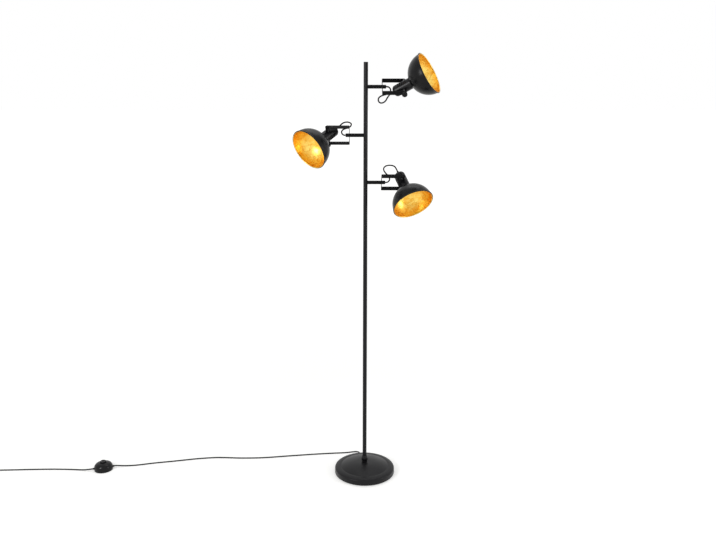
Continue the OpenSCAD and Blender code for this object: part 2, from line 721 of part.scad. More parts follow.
// A low oval dome with full shoulders: rings of an ellipse that close in with height
module oval_dome(a, b, low, high) {
    rows = 7;
    around = 48;
    points = concat([for (j = [0:rows - 1]) for (k = [0:around - 1])
        let (lift = 90 * j / rows, t = 360 * k / around, q = pow(cos(lift), side_power))
        [a * q * cos(t), b * q * sin(t), low + (high - low) * pow(sin(lift), dome_power)]],
        [[0, 0, high], [0, 0, low]]);
    tip = rows * around;
    faces = concat(
        [for (j = [0:rows - 2]) for (k = [0:around - 1])
            let (p = j * around + k, q = j * around + (k + 1) % around)
            for (f = [[p, p + around, q + around], [p, q + around, q]]) f],
        [for (k = [0:around - 1]) let (p = (rows - 1) * around + k,
            q = (rows - 1) * around + (k + 1) % around) [p, tip, q]],
        [for (k = [0:around - 1]) [k, (k + 1) % around, tip + 1]]);
    polyhedron(points = points, faces = faces, convexity = 2);
}
module switch_base() {
    color("#18181a") on_switch() difference() {
        linear_extrude(sole_h - seat_gap) switch_outline(0.6);
        for (x = [-1, 1]) for (y = [-1, 1])
            translate([x * foot_screw_at[0], y * foot_screw_at[1], -through]) {
                cylinder(d = 3.4, h = sole_h + 2 * through);
                cylinder(d = 6.4, h = through + 2.2);
            }
    }
}
module switch_cover() {
    half = switch_len / 2;
    corner = foot_screw_at * (1 + post_r / norm(foot_screw_at));
    post_h = dome_rise(corner[0], corner[1]);
    color("#18181a") on_switch() difference() {
        union() {
            difference() {
                union() {
                    oval_dome(half, switch_w / 2, sole_h, switch_h - 1);
                    translate([0, 0, sole_h + 4]) turned([[0, 0], [collar_d / 2, 0],
                        [collar_d / 2, switch_h - sole_h - 4.8],
                        [collar_d / 2 - 0.8, switch_h - sole_h - 4], [0, switch_h - sole_h - 4]]);
                }
                oval_dome(half - switch_wall, switch_w / 2 - switch_wall, sole_h - 0.01,
                    switch_h - 1 - switch_wall);
            }
            for (x = [-1, 1]) for (y = [-1, 1])
                translate([x * foot_screw_at[0], y * foot_screw_at[1], sole_h])
                    cylinder(r = post_r, h = post_h);
            for (s = [-1, 1]) translate([s * (half - 4), 0, bush_z]) rotate([0, s * 90, 0])
                cylinder(d1 = bush_d + 3, d2 = bush_d - 1, h = bush_reach - half + 4);
        }
        translate([-switch_len, -switch_w, 0]) cube([2 * switch_len, 2 * switch_w, sole_h]);
        for (x = [-1, 1]) for (y = [-1, 1])
            translate([x * foot_screw_at[0], y * foot_screw_at[1], sole_h - through])
                cylinder(d = 2.6, h = 6 + through);
        cylinder(d = button_d + 0.8, h = 2 * switch_h);
        translate([0, 0, sole_h - through])
            cylinder(d = button_flange_d + 1, h = button_flange_z - sole_h + button_flange_t
                + play + through);
        rotate([0, 90, 0]) translate([-bush_z, 0, 0])
            cylinder(d = cord_d + 2 * fit_gap, h = 4 * half, center = true);
    }
}
module switch_button() {
    color("#222226") on_switch() difference() {
        union() {
            translate([0, 0, button_flange_z]) turned([[0, 0], [button_d / 2, 0],
                [button_d / 2, button_top - button_flange_z - 1.6],
                [button_d / 2 - 1.6, button_top - button_flange_z - 0.3],
                [button_d / 2 - 4, button_top - button_flange_z], [0, button_top - button_flange_z]]);
            translate([0, 0, button_flange_z]) cylinder(d = button_flange_d, h = button_flange_t);
        }
        translate([0, 0, button_flange_z - through])
            cylinder(r = spring_r + spring_wire + 1,
                h = button_top - button_skin - button_flange_z + through);
    }
}
module switch_spring() {
    rise = spring_top - spring_z - spring_wire;
    steps = spring_turns * 8;
    route = [for (k = [0:steps]) let (a = 360 * k / 8)
        [spring_r * cos(a), spring_r * sin(a), spring_z + spring_wire / 2 + rise * k / steps]];
    color("#c8cacc") on_switch() sweep(route, spring_wire, 6);
    echo(spring_least_gap = least_gap(route, spring_wire, 5));
}
// Two terminal blocks with the cord's ends in them
module switch_contacts() {
    color("#c9a24a") on_switch() for (s = [-1, 1]) {
        translate([s * 22, 0, sole_h + 3 + seat_gap]) cube([7, 12, 6], center = true);
        translate([s * 25.5 + s * seat_gap, 0, bush_z]) rotate([0, s * 90, 0])
            cylinder(d = cord_d, h = bush_reach - 25.5 - play);
    }
}
module switch_screws() {
    color("#b9bcc0") on_switch() for (x = [-1, 1]) for (y = [-1, 1])
        translate([x * foot_screw_at[0], y * foot_screw_at[1], 0]) {
            translate([0, 0, 2.2 - 1.6]) cylinder(d = 5.6, h = 1.6 - seat_gap);
            translate([0, 0, 0.8]) cylinder(d = 2.5, h = sole_h + 4);
        }
}
function coil_radius(t) =
    t < coil_wind ? coil_out_r - coil_pitch * t :
    t < coil_wind + coil_climb ? coil_in_r :
    coil_in_r + coil_pitch * (t - coil_wind - coil_climb);
function coil_lift(t) = coil_pitch * min(max((t - coil_wind) / coil_climb, 0), 1);
coil_route = concat(
    [[coil_at[0] + cord_d, 0, coil_z]],
    [for (k = [0:coil_steps * coil_turns]) let (t = k / coil_steps, a = -90 - 360 * t)
        [coil_at[0] + coil_radius(t) * cos(a), coil_at[1] + coil_radius(t) * sin(a),
            coil_z + coil_lift(t)]],
    [[tail_at[0], tail_at[1] + 8, coil_z + coil_pitch - 0.3],
     [tail_at[0], tail_at[1] + 18, plug_at[2] + 1], [tail_at[0], tail_at[1] + 27, plug_at[2]],
     [tail_at[0], plug_at[1], plug_at[2]]]);
module cord_coil() {
    color("#18181a") sweep(coil_route, cord_d, 6);
    echo(coil_least_gap = least_gap(coil_route, cord_d, 12));
}
// A flat band round the coil's bundle, which lies on it
module cord_tie() {
    room = 1.2;
    low_r = coil_in_r - cord_z - room;
    high_r = coil_out_r + cord_z + room;
    top = coil_z + coil_pitch + cord_z + 0.3;
    color("#2a2a2e") translate([coil_at[0], coil_at[1], 0]) rotate([0, 0, 50]) difference() {
        translate([low_r - tie_t, -tie_w / 2, 0]) cube([high_r - low_r + 2 * tie_t, tie_w, top + tie_t]);
        translate([low_r, -tie_w, tie_t]) cube([high_r - low_r, 2 * tie_w, top - tie_t]);
    }
}
module plug_body() {
    color("#18181a") translate(plug_at) difference() {
        union() {
            translate([0, plug_relief, -plug_h / 2]) linear_extrude(plug_h)
                polygon([[-plug_w / 5, 0], [plug_w / 5, 0], [plug_w / 2, plug_taper],
                    [plug_w / 2, plug_len], [-plug_w / 2, plug_len], [-plug_w / 2, plug_taper]]);
            rotate([-90, 0, 0]) cylinder(d1 = cord_d + 1.6, d2 = plug_h - 3, h = plug_relief + through);
        }
        for (x = [-1, 1]) translate([x * pin_spacing / 2, plug_relief + plug_len - pin_seat, 0])
            rotate([-90, 0, 0]) cylinder(d = pin_root_d + 2 * fit_gap, h = pin_seat + through);
    }
}
module plug_pins() {
    color("#c9b26a") translate(plug_at) for (x = [-1, 1])
        translate([x * pin_spacing / 2, plug_relief + plug_len - pin_seat + seat_gap, 0])
            rotate([-90, 0, 0]) turned([[0, 0], [pin_root_d / 2, 0], [pin_root_d / 2, pin_seat],
                [pin_d / 2, pin_seat], [pin_d / 2, pin_end - 1.2], [pin_d / 2 - 1, pin_end],
                [0, pin_end]]);
}

base_cover();
base_weight();
base_pad();
base_ferrule();
foot_stud();
foot_nut();
connector_block();
cord_gland();
pole_lower();
pole_middle();
pole_upper();
pole_couplers();
pole_cap();
inner_leads();
arm_nuts();
for (i = spots) {
    arm(i);
    yoke(i);
    spot_cable(i);
    neck(i);
    shade(i);
    lampholder(i);
    holder_contacts(i);
    holder_lead(i);
    cable_gland(i);
    pivot_screw(i);
    tilt_knob(i);
}
mains_cord();
switch_base();
switch_cover();
switch_button();
switch_spring();
switch_contacts();
switch_screws();
plug_cord();
cord_coil();
cord_tie();
plug_body();
plug_pins();
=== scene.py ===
import json
import math
import bpy
import numpy as np
from mathutils import Matrix, Vector


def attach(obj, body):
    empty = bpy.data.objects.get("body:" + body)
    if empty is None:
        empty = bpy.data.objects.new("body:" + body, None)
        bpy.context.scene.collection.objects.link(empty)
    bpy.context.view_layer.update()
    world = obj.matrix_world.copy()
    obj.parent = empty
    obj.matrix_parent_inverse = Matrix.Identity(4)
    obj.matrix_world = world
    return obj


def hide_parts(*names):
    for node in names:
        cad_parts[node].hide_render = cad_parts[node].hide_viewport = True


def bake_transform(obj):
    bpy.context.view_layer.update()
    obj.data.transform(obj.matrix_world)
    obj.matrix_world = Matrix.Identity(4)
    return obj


# Floor lamp with three gold-lined spots. Lengths are in metres; mm turns millimetres into them.
# The row's frame: origin on the floor at the pole's axis, +Z up, the viewer stands at -Y.
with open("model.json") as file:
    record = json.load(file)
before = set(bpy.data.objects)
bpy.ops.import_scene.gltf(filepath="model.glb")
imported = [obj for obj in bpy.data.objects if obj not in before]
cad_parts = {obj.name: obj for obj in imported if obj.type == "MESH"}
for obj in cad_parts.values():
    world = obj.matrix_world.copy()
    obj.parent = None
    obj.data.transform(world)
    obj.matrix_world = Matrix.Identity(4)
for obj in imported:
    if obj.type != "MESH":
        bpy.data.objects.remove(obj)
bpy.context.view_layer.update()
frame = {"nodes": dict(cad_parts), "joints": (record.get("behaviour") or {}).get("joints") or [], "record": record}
mm = 0.001
record = frame["record"]
joints = {joint["name"]: joint for joint in frame["joints"]}
mounts = {mount["name"]: mount for mount in record["mounts"]}
spots = (1, 2, 3)
up = np.array([0.0, 0.0, 1.0])
onAxis = 0.01 * mm  # radius at which a turned profile ends on its axis
print("frame: loaded", len(frame["nodes"]), "nodes")

view = {
    "standOff": 2.778,  # from the pole's axis towards the viewer
    "height": 1.514,
    "sideways": -0.0262,
    "pitchDown": 14.16,  # degrees
    "roll": 0.062,
    "focalPixels": 782.2,
    "imageWidth": 716,
    "sensor": 36.0,
}


def makeCamera(v):
    data = bpy.data.cameras.new("camera")
    data.sensor_width = v["sensor"]
    data.lens = v["sensor"] * v["focalPixels"] / v["imageWidth"]
    data.clip_end = 60.0
    camera = bpy.data.objects.new("camera", data)
    bpy.context.scene.collection.objects.link(camera)
    turn = Matrix.Rotation(math.radians(90 - v["pitchDown"]), 4, "X")
    turn = turn @ Matrix.Rotation(math.radians(v["roll"]), 4, "Z")
    place = Matrix.Translation((v["sideways"], -v["standOff"], v["height"]))
    camera.matrix_world = place @ turn
    bpy.context.scene.camera = camera


makeCamera(view)
print("camera: set")


def unitRows(vectors):
    return vectors / np.linalg.norm(vectors, axis=-1, keepdims=True)


# A grid of points becomes a closed shell: quads between neighbours along both parameters. The columns
# always meet round the piece. The rows meet too where wrapRows is set, and else each end closes on the
# middle of its row. The signed volume, the sum of corner triple products, tells which way faces point.
def shell(grid, wrapRows=False):
    rows, columns = grid.shape[:2]
    points = grid.reshape(-1, 3)
    index = np.arange(rows * columns).reshape(rows, columns)
    low, high = (index, np.roll(index, -1, axis=0)) if wrapRows else (index[:-1], index[1:])
    quads = np.stack([low, np.roll(low, -1, 1), np.roll(high, -1, 1), high], -1).reshape(-1, 4)
    ends = np.zeros((0, 3), int)
    if not wrapRows:
        points = np.vstack([points, grid[0].mean(0), grid[-1].mean(0)])
        first, last = index[0], index[-1]
        startFan = np.stack([np.roll(first, -1), first, np.full(columns, rows * columns)], -1)
        endFan = np.stack([last, np.roll(last, -1), np.full(columns, rows * columns + 1)], -1)
        ends = np.vstack([startFan, endFan])
    triangles = np.vstack([quads[:, [0, 1, 2]], quads[:, [0, 2, 3]], ends])
    a, b, c = (points[triangles[:, k]] for k in range(3))
    volume = np.einsum("ij,ij->i", a, np.cross(b, c)).sum()
    if volume < 0:
        quads, ends = quads[:, ::-1], ends[:, ::-1]
    return points, quads, ends


# Shells are put together as one mesh. Edges turn sharp where faces meet at more than the given angle.
def makePiece(name, shells, finish, sharpAngle=38):
    start, points, faces = 0, [], []
    for shellPoints, quads, ends in shells:
        points.append(shellPoints)
        faces += (quads + start).tolist() + (ends + start).tolist()
        start += len(shellPoints)
    mesh = bpy.data.meshes.new(name)
    mesh.from_pydata(np.vstack(points).tolist(), [], faces)
    mesh.shade_smooth()
    mesh.set_sharp_from_angle(angle=math.radians(sharpAngle))
    mesh.materials.append(finish)
    piece = bpy.data.objects.new(name, mesh)
    bpy.context.scene.collection.objects.link(piece)
    return piece


# A profile of (distance along the axis, radius) turned about the axis: each point runs round a circle.
# swell, where given, scales the radius by angle and row.
def turned(profile, columns=96, swell=None):
    profile = np.asarray(profile, float)
    angle = np.linspace(0, 2 * np.pi, columns, endpoint=False)
    along = np.repeat(profile[:, :1], columns, 1)
    radius = np.repeat(profile[:, 1:2], columns, 1)
    if swell is not None:
        radius = radius * swell(angle[None, :], along)
    return np.stack([along, radius * np.cos(angle), radius * np.sin(angle)], -1)


# A round arc about a middle, as points whose angle runs evenly between two angles in degrees
def arc(middle, radius, fromAngle, toAngle, steps):
    a = np.radians(np.linspace(fromAngle, toAngle, steps + 1))
    return np.stack([middle[0] + radius * np.cos(a), middle[1] + radius * np.sin(a)], -1)


# Corners of an outline are rounded: each is replaced by an arc-like curve between the points that lie
# the radius before and after it, a quadratic with the corner as its middle weight.
def softened(outline, radius, steps=4, closed=True):
    outline = np.asarray(outline, float)
    before, after = np.roll(outline, 1, 0), np.roll(outline, -1, 0)
    reach = np.minimum(np.linalg.norm(before - outline, axis=1), np.linalg.norm(after - outline, axis=1))
    reach = np.minimum(radius, 0.45 * reach)[:, None]
    enter = outline + unitRows(before - outline) * reach
    leave = outline + unitRows(after - outline) * reach
    t = np.linspace(0, 1, steps + 1)[None, :, None]
    curve = (1 - t) ** 2 * enter[:, None] + 2 * t * (1 - t) * outline[:, None] + t**2 * leave[:, None]
    if closed:
        return curve.reshape(-1, 2)
    return np.vstack([outline[:1], curve[1:-1].reshape(-1, 2), outline[-1:]])


# Points given in a local frame of three axes are carried to their place
def placed(grid, origin, xAxis, yAxis, zAxis):
    return np.asarray(origin) + grid @ np.stack([xAxis, yAxis, zAxis])


# A profile of (height, radius) turned about the upright axis
def turnedUpright(outline, columns):
    return placed(turned(outline, columns), (0, 0, 0), up, np.array([1.0, 0, 0]), np.array([0, 1.0, 0]))


# The same piece is made for each spot and reported in one line
def forEachSpot(make, values, label):
    for i in spots:
        make(i, values)
    print(label + ":", len(spots))


# A smooth curve through given points: Catmull-Rom, whose tangent at a point runs along the chord between
# its neighbours, resampled at an even spacing
def smoothPath(points, spacing):
    points = np.asarray(points, float)
    ends = 2 * points[[0, -1]] - points[[1, -2]]
    p = np.vstack([ends[:1], points, ends[1:]])
    t = np.linspace(0, 1, 16, endpoint=False)[None, :, None]
    p0, p1, p2, p3 = (p[k : len(p) - 3 + k][:, None] for k in range(4))
    curve = 0.5 * (2 * p1 + (p2 - p0) * t + (2 * p0 - 5 * p1 + 4 * p2 - p3) * t**2
                   + (3 * p1 - p0 - 3 * p2 + p3) * t**3)
    curve = np.vstack([curve.reshape(-1, 3), points[-1:]])
    length = np.concatenate([[0], np.cumsum(np.linalg.norm(np.diff(curve, axis=0), axis=1))])
    at = np.linspace(0, length[-1], max(2, round(length[-1] / spacing)) + 1)
    return np.stack([np.interp(at, length, curve[:, k]) for k in range(3)], -1)


# A section carried along a path: each point of the section lies across the path's tangent, on one axis
# near the given side direction and one square to it. The section is one outline, or one for each ring.
def swept(path, section, sideways):
    tangent = unitRows(np.gradient(path, axis=0))
    across = unitRows(sideways - (tangent @ sideways)[:, None] * tangent)
    lift = np.cross(tangent, across)
    section = np.broadcast_to(section, (len(path), *np.shape(section)[-2:]))
    return path[:, None] + section[..., :1] * across[:, None] + section[..., 1:] * lift[:, None]


def ring(radius, columns):
    a = np.linspace(0, 2 * np.pi, columns, endpoint=False)
    return np.stack([radius * np.cos(a), radius * np.sin(a)], -1)


# One sRGB hex colour as the linear red, green, blue and alpha that a shader wants
def linear(hexColour):
    channels = np.array([int(hexColour[k : k + 2], 16) for k in (1, 3, 5)]) / 255
    low, high = channels / 12.92, ((channels + 0.055) / 1.055) ** 2.4
    return (*np.where(channels <= 0.04045, low, high).tolist(), 1.0)


# One node with its settings, and its inputs as plain values or as links from other sockets
def addNode(tree, kind, inputs=None, **settings):
    made = tree.nodes.new(kind)
    for name, value in settings.items():
        setattr(made, name, value)
    for name, value in (inputs or {}).items():
        if isinstance(value, bpy.types.NodeSocket):
            tree.links.new(value, made.inputs[name])
        else:
            made.inputs[name].default_value = value
    return made


def newFinish(name):
    finish = bpy.data.materials.new(name)
    finish.use_nodes = True
    finish.node_tree.nodes.clear()
    return finish, finish.node_tree


def objectPlace(tree):
    return addNode(tree, "ShaderNodeTexCoord").outputs["Object"]


def blendColours(tree, factor, first, second):
    mixed = addNode(tree, "ShaderNodeMix", {"Factor": factor}, data_type="RGBA")
    for socket, colour in ((mixed.inputs[6], first), (mixed.inputs[7], second)):
        if isinstance(colour, str):
            socket.default_value = linear(colour)
        else:
            tree.links.new(colour, socket)
    return mixed.outputs[2]


# A finish over two tones: broad clouds shift the tone and the roughness, fine grain lifts the surface
def grainedFinish(name, f):
    finish, tree = newFinish(name)
    place = objectPlace(tree)
    clouds = addNode(tree, "ShaderNodeTexNoise",
                     {"Vector": place, "Scale": 1 / f["cloudSize"], "Detail": 3.0})
    grain = addNode(tree, "ShaderNodeTexNoise",
                    {"Vector": place, "Scale": 1 / f["grainSize"], "Detail": 2.0})
    rough = addNode(tree, "ShaderNodeMapRange",
                    {"Value": clouds.outputs["Fac"], "From Min": 0.3, "From Max": 0.7,
                     "To Min": f["roughness"][0], "To Max": f["roughness"][1]})
    bump = addNode(tree, "ShaderNodeBump",
                   {"Height": grain.outputs["Fac"], "Strength": 1.0, "Distance": f["grainDepth"]})
    shader = addNode(tree, "ShaderNodeBsdfPrincipled",
                     {"Base Color": blendColours(tree, clouds.outputs["Fac"], *f["tones"]),
                      "Roughness": rough.outputs["Result"], "Normal": bump.outputs["Normal"],
                      "Metallic": f.get("metallic", 0.0), "Specular IOR Level": f.get("specular", 0.5)})
    addNode(tree, "ShaderNodeOutputMaterial", {"Surface": shader.outputs["BSDF"]})
    return finish


finishes = {
    # Polyester powder coat baked on steel: a fine orange peel breaks reflections into a soft satin
    "poleBlack": grainedFinish("powderCoatedSteelTube", {
        "tones": ("#0b0b0d", "#101013"), "roughness": (0.30, 0.35), "specular": 0.20,
        "cloudSize": 60 * mm, "grainSize": 1.6 * mm, "grainDepth": 0.03 * mm}),
    "baseBlack": grainedFinish("powderCoatedSteelPressing", {
        "tones": ("#111113", "#171719"), "roughness": (0.34, 0.42), "specular": 0.20,
        "cloudSize": 80 * mm, "grainSize": 2.0 * mm, "grainDepth": 0.04 * mm}),
    # Sprayed lacquer on spun aluminium: smoother than powder, so its highlights are tighter
    "shadeBlack": grainedFinish("satinLacqueredAluminium", {
        "tones": ("#070708", "#0c0c0e"), "roughness": (0.26, 0.32), "specular": 0.17,
        "cloudSize": 50 * mm, "grainSize": 2.4 * mm, "grainDepth": 0.02 * mm}),
    # Die-cast zinc under gloss black stoving enamel: a narrow, clear streak of light along the round neck
    "neckBlack": grainedFinish("enamelledZincCasting", {
        "tones": ("#0a0a0c", "#101013"), "roughness": (0.24, 0.32), "specular": 0.22,
        "cloudSize": 30 * mm, "grainSize": 3.0 * mm, "grainDepth": 0.02 * mm}),
    # Flat bar under the same enamel, duller where it was bent and handled
    "yokeBlack": grainedFinish("enamelledSteelStrip", {
        "tones": ("#09090a", "#0f0f11"), "roughness": (0.42, 0.52), "specular": 0.10,
        "cloudSize": 25 * mm, "grainSize": 1.6 * mm, "grainDepth": 0.02 * mm}),
    # Compression-moulded phenolic, black through and through, with a dry sheen
    "knobBlack": grainedFinish("mouldedPhenolic", {
        "tones": ("#0b0b0c", "#121213"), "roughness": (0.34, 0.46), "specular": 0.16,
        "cloudSize": 12 * mm, "grainSize": 1.0 * mm, "grainDepth": 0.02 * mm}),
    # Sand-cast iron: a coarse dull skin with a grey-brown bloom
    "castIron": grainedFinish("castIron", {
        "tones": ("#4a4b4d", "#5e5d5a"), "roughness": (0.55, 0.75), "metallic": 0.7,
        "cloudSize": 30 * mm, "grainSize": 1.5 * mm, "grainDepth": 0.15 * mm}),
    # Zinc-plated steel: bluish bright metal, slightly clouded by passivation
    "zincSteel": grainedFinish("zincPlatedSteel", {
        "tones": ("#b4b8be", "#c8ccd0"), "roughness": (0.25, 0.40), "metallic": 1.0,
        "cloudSize": 12 * mm, "grainSize": 0.6 * mm, "grainDepth": 0.01 * mm}),
    # Steel blackened by oxide and oil: darker and duller than paint
    "blackSteel": grainedFinish("blackenedSteel", {
        "tones": ("#0d0d0e", "#151517"), "roughness": (0.40, 0.52), "specular": 0.14,
        "cloudSize": 15 * mm, "grainSize": 0.8 * mm, "grainDepth": 0.02 * mm}),
    # Compression-moulded phenolic, coloured a dark brown-gold all over, the tone the holder shows inside the gold
    # shades
    "phenolic": grainedFinish("brownGoldPhenolic", {
        "tones": ("#3c2408", "#52340c"), "roughness": (0.42, 0.54), "metallic": 0.3,
        "cloudSize": 12 * mm, "grainSize": 1.0 * mm, "grainDepth": 0.02 * mm}),
    # Moulded polyamide: off-white, faintly translucent, matt from the tool
    "terminalPlastic": grainedFinish("mouldedPolyamide", {
        "tones": ("#dcd8ca", "#e8e4d8"), "roughness": (0.45, 0.60),
        "cloudSize": 10 * mm, "grainSize": 0.7 * mm, "grainDepth": 0.02 * mm}),
    # Stamped brass: warm yellow metal with a light tarnish
    "brass": grainedFinish("stampedBrass", {
        "tones": ("#b8923c", "#d6b25a"), "roughness": (0.25, 0.42), "metallic": 1.0,
        "cloudSize": 8 * mm, "grainSize": 0.5 * mm, "grainDepth": 0.01 * mm}),
    # Extruded soft PVC: even black sheath with a waxy sheen
    "blackPvc": grainedFinish("extrudedSoftPvc", {
        "tones": ("#0a0a0b", "#0f0f11"), "roughness": (0.42, 0.54), "specular": 0.12,
        "cloudSize": 25 * mm, "grainSize": 1.4 * mm, "grainDepth": 0.02 * mm}),
    # Injection-moulded ABS: a polished tool leaves a clear, wet-looking highlight
    "switchPlastic": grainedFinish("mouldedAbs", {
        "tones": ("#060607", "#0b0b0d"), "roughness": (0.18, 0.24), "specular": 0.22,
        "cloudSize": 20 * mm, "grainSize": 1.2 * mm, "grainDepth": 0.012 * mm}),
    # Closed-cell foam: dull, with fine open cells on its cut face
    "padFoam": grainedFinish("closedCellFoam", {
        "tones": ("#1c1c1f", "#2a2a2d"), "roughness": (0.85, 0.95), "specular": 0.3,
        "cloudSize": 20 * mm, "grainSize": 1.0 * mm, "grainDepth": 0.3 * mm}),
    # Woven nylon tie with a fine rib
    "tieBand": grainedFinish("wovenNylonBand", {
        "tones": ("#1b1b1d", "#2b2b2f"), "roughness": (0.70, 0.85), "specular": 0.4,
        "cloudSize": 6 * mm, "grainSize": 0.9 * mm, "grainDepth": 0.12 * mm}),
}

goldLeaf = {
    "leafSize": 32 * mm,  # a torn leaf, laid over its neighbours
    "crumpleSize": 15 * mm,
    "wrinkleSize": 4.5 * mm,  # real wrinkles are finer; drawn as coarse as they need to show
    "crumpleDepth": 0.60 * mm,
    "wrinkleDepth": 0.04 * mm,
    "tones": ("#eeb240", "#ffe078"),
    "seamTone": "#d89c30",
    "seamWidth": 0.03,  # share of a leaf
    "roughness": (0.28, 0.40),
}


# Beaten metal leaf on size inside the shade: each leaf takes its own tone and the seams between leaves stay
# darker.
# The colour is also painted darker in the crumple's hollows, from the noise that raises the folds (painted shade);
# the crumpled metal throws back broken, glaring highlights
def goldLeafFinish(g):
    finish, tree = newFinish("beatenGoldLeaf")
    place = objectPlace(tree)
    warp = addNode(tree, "ShaderNodeTexNoise", {"Vector": place, "Scale": 1 / g["leafSize"], "Detail": 2.0})
    shift = addNode(tree, "ShaderNodeVectorMath",
                    {0: warp.outputs["Color"], 1: (g["leafSize"],) * 3}, operation="MULTIPLY")
    torn = addNode(tree, "ShaderNodeVectorMath", {0: place, 1: shift.outputs[0]}, operation="ADD").outputs[0]
    leaf = addNode(tree, "ShaderNodeTexVoronoi", {"Vector": torn, "Scale": 1 / g["leafSize"]})
    seam = addNode(tree, "ShaderNodeTexVoronoi", {"Vector": torn, "Scale": 1 / g["leafSize"]},
                   feature="DISTANCE_TO_EDGE")
    leafTone = addNode(tree, "ShaderNodeSeparateColor", {"Color": leaf.outputs["Color"]}).outputs["Red"]
    crumple = addNode(tree, "ShaderNodeTexNoise",
                      {"Vector": place, "Scale": 1 / g["crumpleSize"], "Detail": 1.0, "Distortion": 0.9})
    wrinkle = addNode(tree, "ShaderNodeTexNoise",
                      {"Vector": place, "Scale": 1 / g["wrinkleSize"], "Detail": 1.5, "Distortion": 1.5})
    # painted shade: the crumple noise that lifts the folds also darkens the gold where it is low, in the hollows
    tone = addNode(tree, "ShaderNodeMath",
                   {0: leafTone, 1: 0.45, 2: crumple.outputs["Fac"]}, operation="MULTIPLY_ADD")
    tone = addNode(tree, "ShaderNodeMapRange",
                   {"Value": tone.outputs[0], "From Min": 0.42, "From Max": 0.98}).outputs["Result"]
    seamShade = addNode(tree, "ShaderNodeMapRange",
                        {"Value": seam.outputs["Distance"], "From Min": 0.0,
                         "From Max": g["seamWidth"]}).outputs["Result"]
    gold = blendColours(tree, tone, *g["tones"])
    colour = blendColours(tree, seamShade, g["seamTone"], gold)
    rough = addNode(tree, "ShaderNodeMapRange",
                    {"Value": wrinkle.outputs["Fac"], "From Min": 0.3, "From Max": 0.7,
                     "To Min": g["roughness"][0], "To Max": g["roughness"][1]})
    fold = addNode(tree, "ShaderNodeBump",
                   {"Height": crumple.outputs["Fac"], "Strength": 1.0, "Distance": g["crumpleDepth"]})
    crease = addNode(tree, "ShaderNodeBump",
                     {"Height": wrinkle.outputs["Fac"], "Strength": 1.0, "Distance": g["wrinkleDepth"],
                      "Normal": fold.outputs["Normal"]})
    shader = addNode(tree, "ShaderNodeBsdfPrincipled",
                     {"Base Color": colour, "Metallic": 1.0, "Roughness": rough.outputs["Result"],
                      "Normal": crease.outputs["Normal"]})
    addNode(tree, "ShaderNodeOutputMaterial", {"Surface": shader.outputs["BSDF"]})
    return finish


finishes["goldLeaf"] = goldLeafFinish(goldLeaf)

slotFinish = {
    "pole_black": "poleBlack", "base_black": "baseBlack", "shade_black": "shadeBlack",
    "weight_iron": "castIron", "zinc_steel": "zincSteel", "black_steel": "blackSteel",
    "phenolic": "phenolic", "terminal_plastic": "terminalPlastic", "brass_contact": "brass",
    "black_pvc": "blackPvc", "switch_plastic": "switchPlastic", "pad_foam": "padFoam",
    "tie_band": "tieBand",
}
slotOf = {part["node"]: part["material_slot"] for part in record["subparts"]}
for name, node in frame["nodes"].items():
    kind = {"neck": "neckBlack", "arm": "yokeBlack"}.get(name[:-2], slotFinish[slotOf[name]])
    for place in node.material_slots:
        place.material = finishes[kind]
print("finishes:", len(finishes))


cord = {
    "radius": 2.5 * mm,
    "columns": 16,
    "spacing": 4 * mm,  # between rings
    "inGland": 4 * mm,  # how far a cord's end runs on inside what holds it
}
# The route on the floor from the base to the switch, in millimetres, as in the part's source
mainsRoute = [
    (-19.1, 136.2, 7), (-19.9, 141.6, 6.9), (-22.8, 148.6, 6), (-28.5, 154.4, 4.8),
    (-37, 157.4, 3.6), (-47.5, 156.9, 2.8), (-62, 153.2, 2.6), (-85, 149.2, 2.6),
    (-130, 145, 2.6), (-200, 137, 2.6), (-300, 122.5, 2.6), (-380, 110, 2.6),
    (-430, 104.5, 2.6), (-500, 103, 2.6), (-565, 106.5, 2.6), (-610, 106, 2.6),
    (-680, 95.5, 2.6), (-760, 77, 2.6), (-840, 60, 2.6), (-890, 46.5, 2.6),
    (-922, 40.3, 2.6), (-950, 36.6, 3.6), (-970, 32.7, 6.2), (-982.7, 29.1, 8),
    (-987.5, 27.5, 8)]
# From the switch to the coil
plugRoute = [
    (-1064.5, 2.5, 8), (-1069.3, 0.9, 8), (-1080, -0.5, 7), (-1095, 1, 4.8),
    (-1116, 4, 3), (-1160, 8, 2.6), (-1230, 9.5, 2.6), (-1310, 7, 2.6),
    (-1390, 3, 2.6), (-1450, 0.4, 2.9), (-1479, 0, 3.4), (-1487, 0, 3.4)]
# From the coil to the plug: y and z from the plug's place
tailRoute = [(-26, 2.45), (-16, 1), (-7, 0), (4, 0)]
coil = {
    "innerRadius": 23.2 * mm,
    "pitch": 6.2 * mm,
    "wind": 1.375,  # turns in each layer
    "climb": 0.5,  # of a turn, from the floor up to the second layer
    "x": -1492 * mm,
    "z": 3.4 * mm,
    "plugZ": 6.85 * mm,
    "plugAhead": 34 * mm,  # of the coil's middle, along y
    "stepsPerTurn": 48,
}
coil["outerRadius"] = coil["innerRadius"] + coil["wind"] * coil["pitch"]
coil["y"] = coil["outerRadius"]
plugPlace = np.array([coil["x"] - coil["outerRadius"], coil["y"] + coil["plugAhead"], coil["plugZ"]])


# The coil's centreline: the radius falls by one pitch a turn to the inside, holds while the cord climbs
# half a turn to the second layer, and grows by one pitch a turn on the way out
def coilPath(c):
    turns = 2 * c["wind"] + c["climb"]
    t = np.linspace(0, turns, round(c["stepsPerTurn"] * turns) + 1)
    outward = np.maximum(np.maximum(c["wind"] - t, t - c["wind"] - c["climb"]), 0)
    radius = c["innerRadius"] + c["pitch"] * outward
    lift = c["pitch"] * np.clip((t - c["wind"]) / c["climb"], 0, 1)
    a = np.radians(-90 - 360 * t)
    return np.stack([c["x"] + radius * np.cos(a), c["y"] + radius * np.sin(a), c["z"] + lift], -1)


def extended(path, before, after):
    start = path[0] - (path[1] - path[0]) / np.linalg.norm(path[1] - path[0]) * before
    end = path[-1] + (path[-1] - path[-2]) / np.linalg.norm(path[-1] - path[-2]) * after
    return np.vstack([start, path, end])


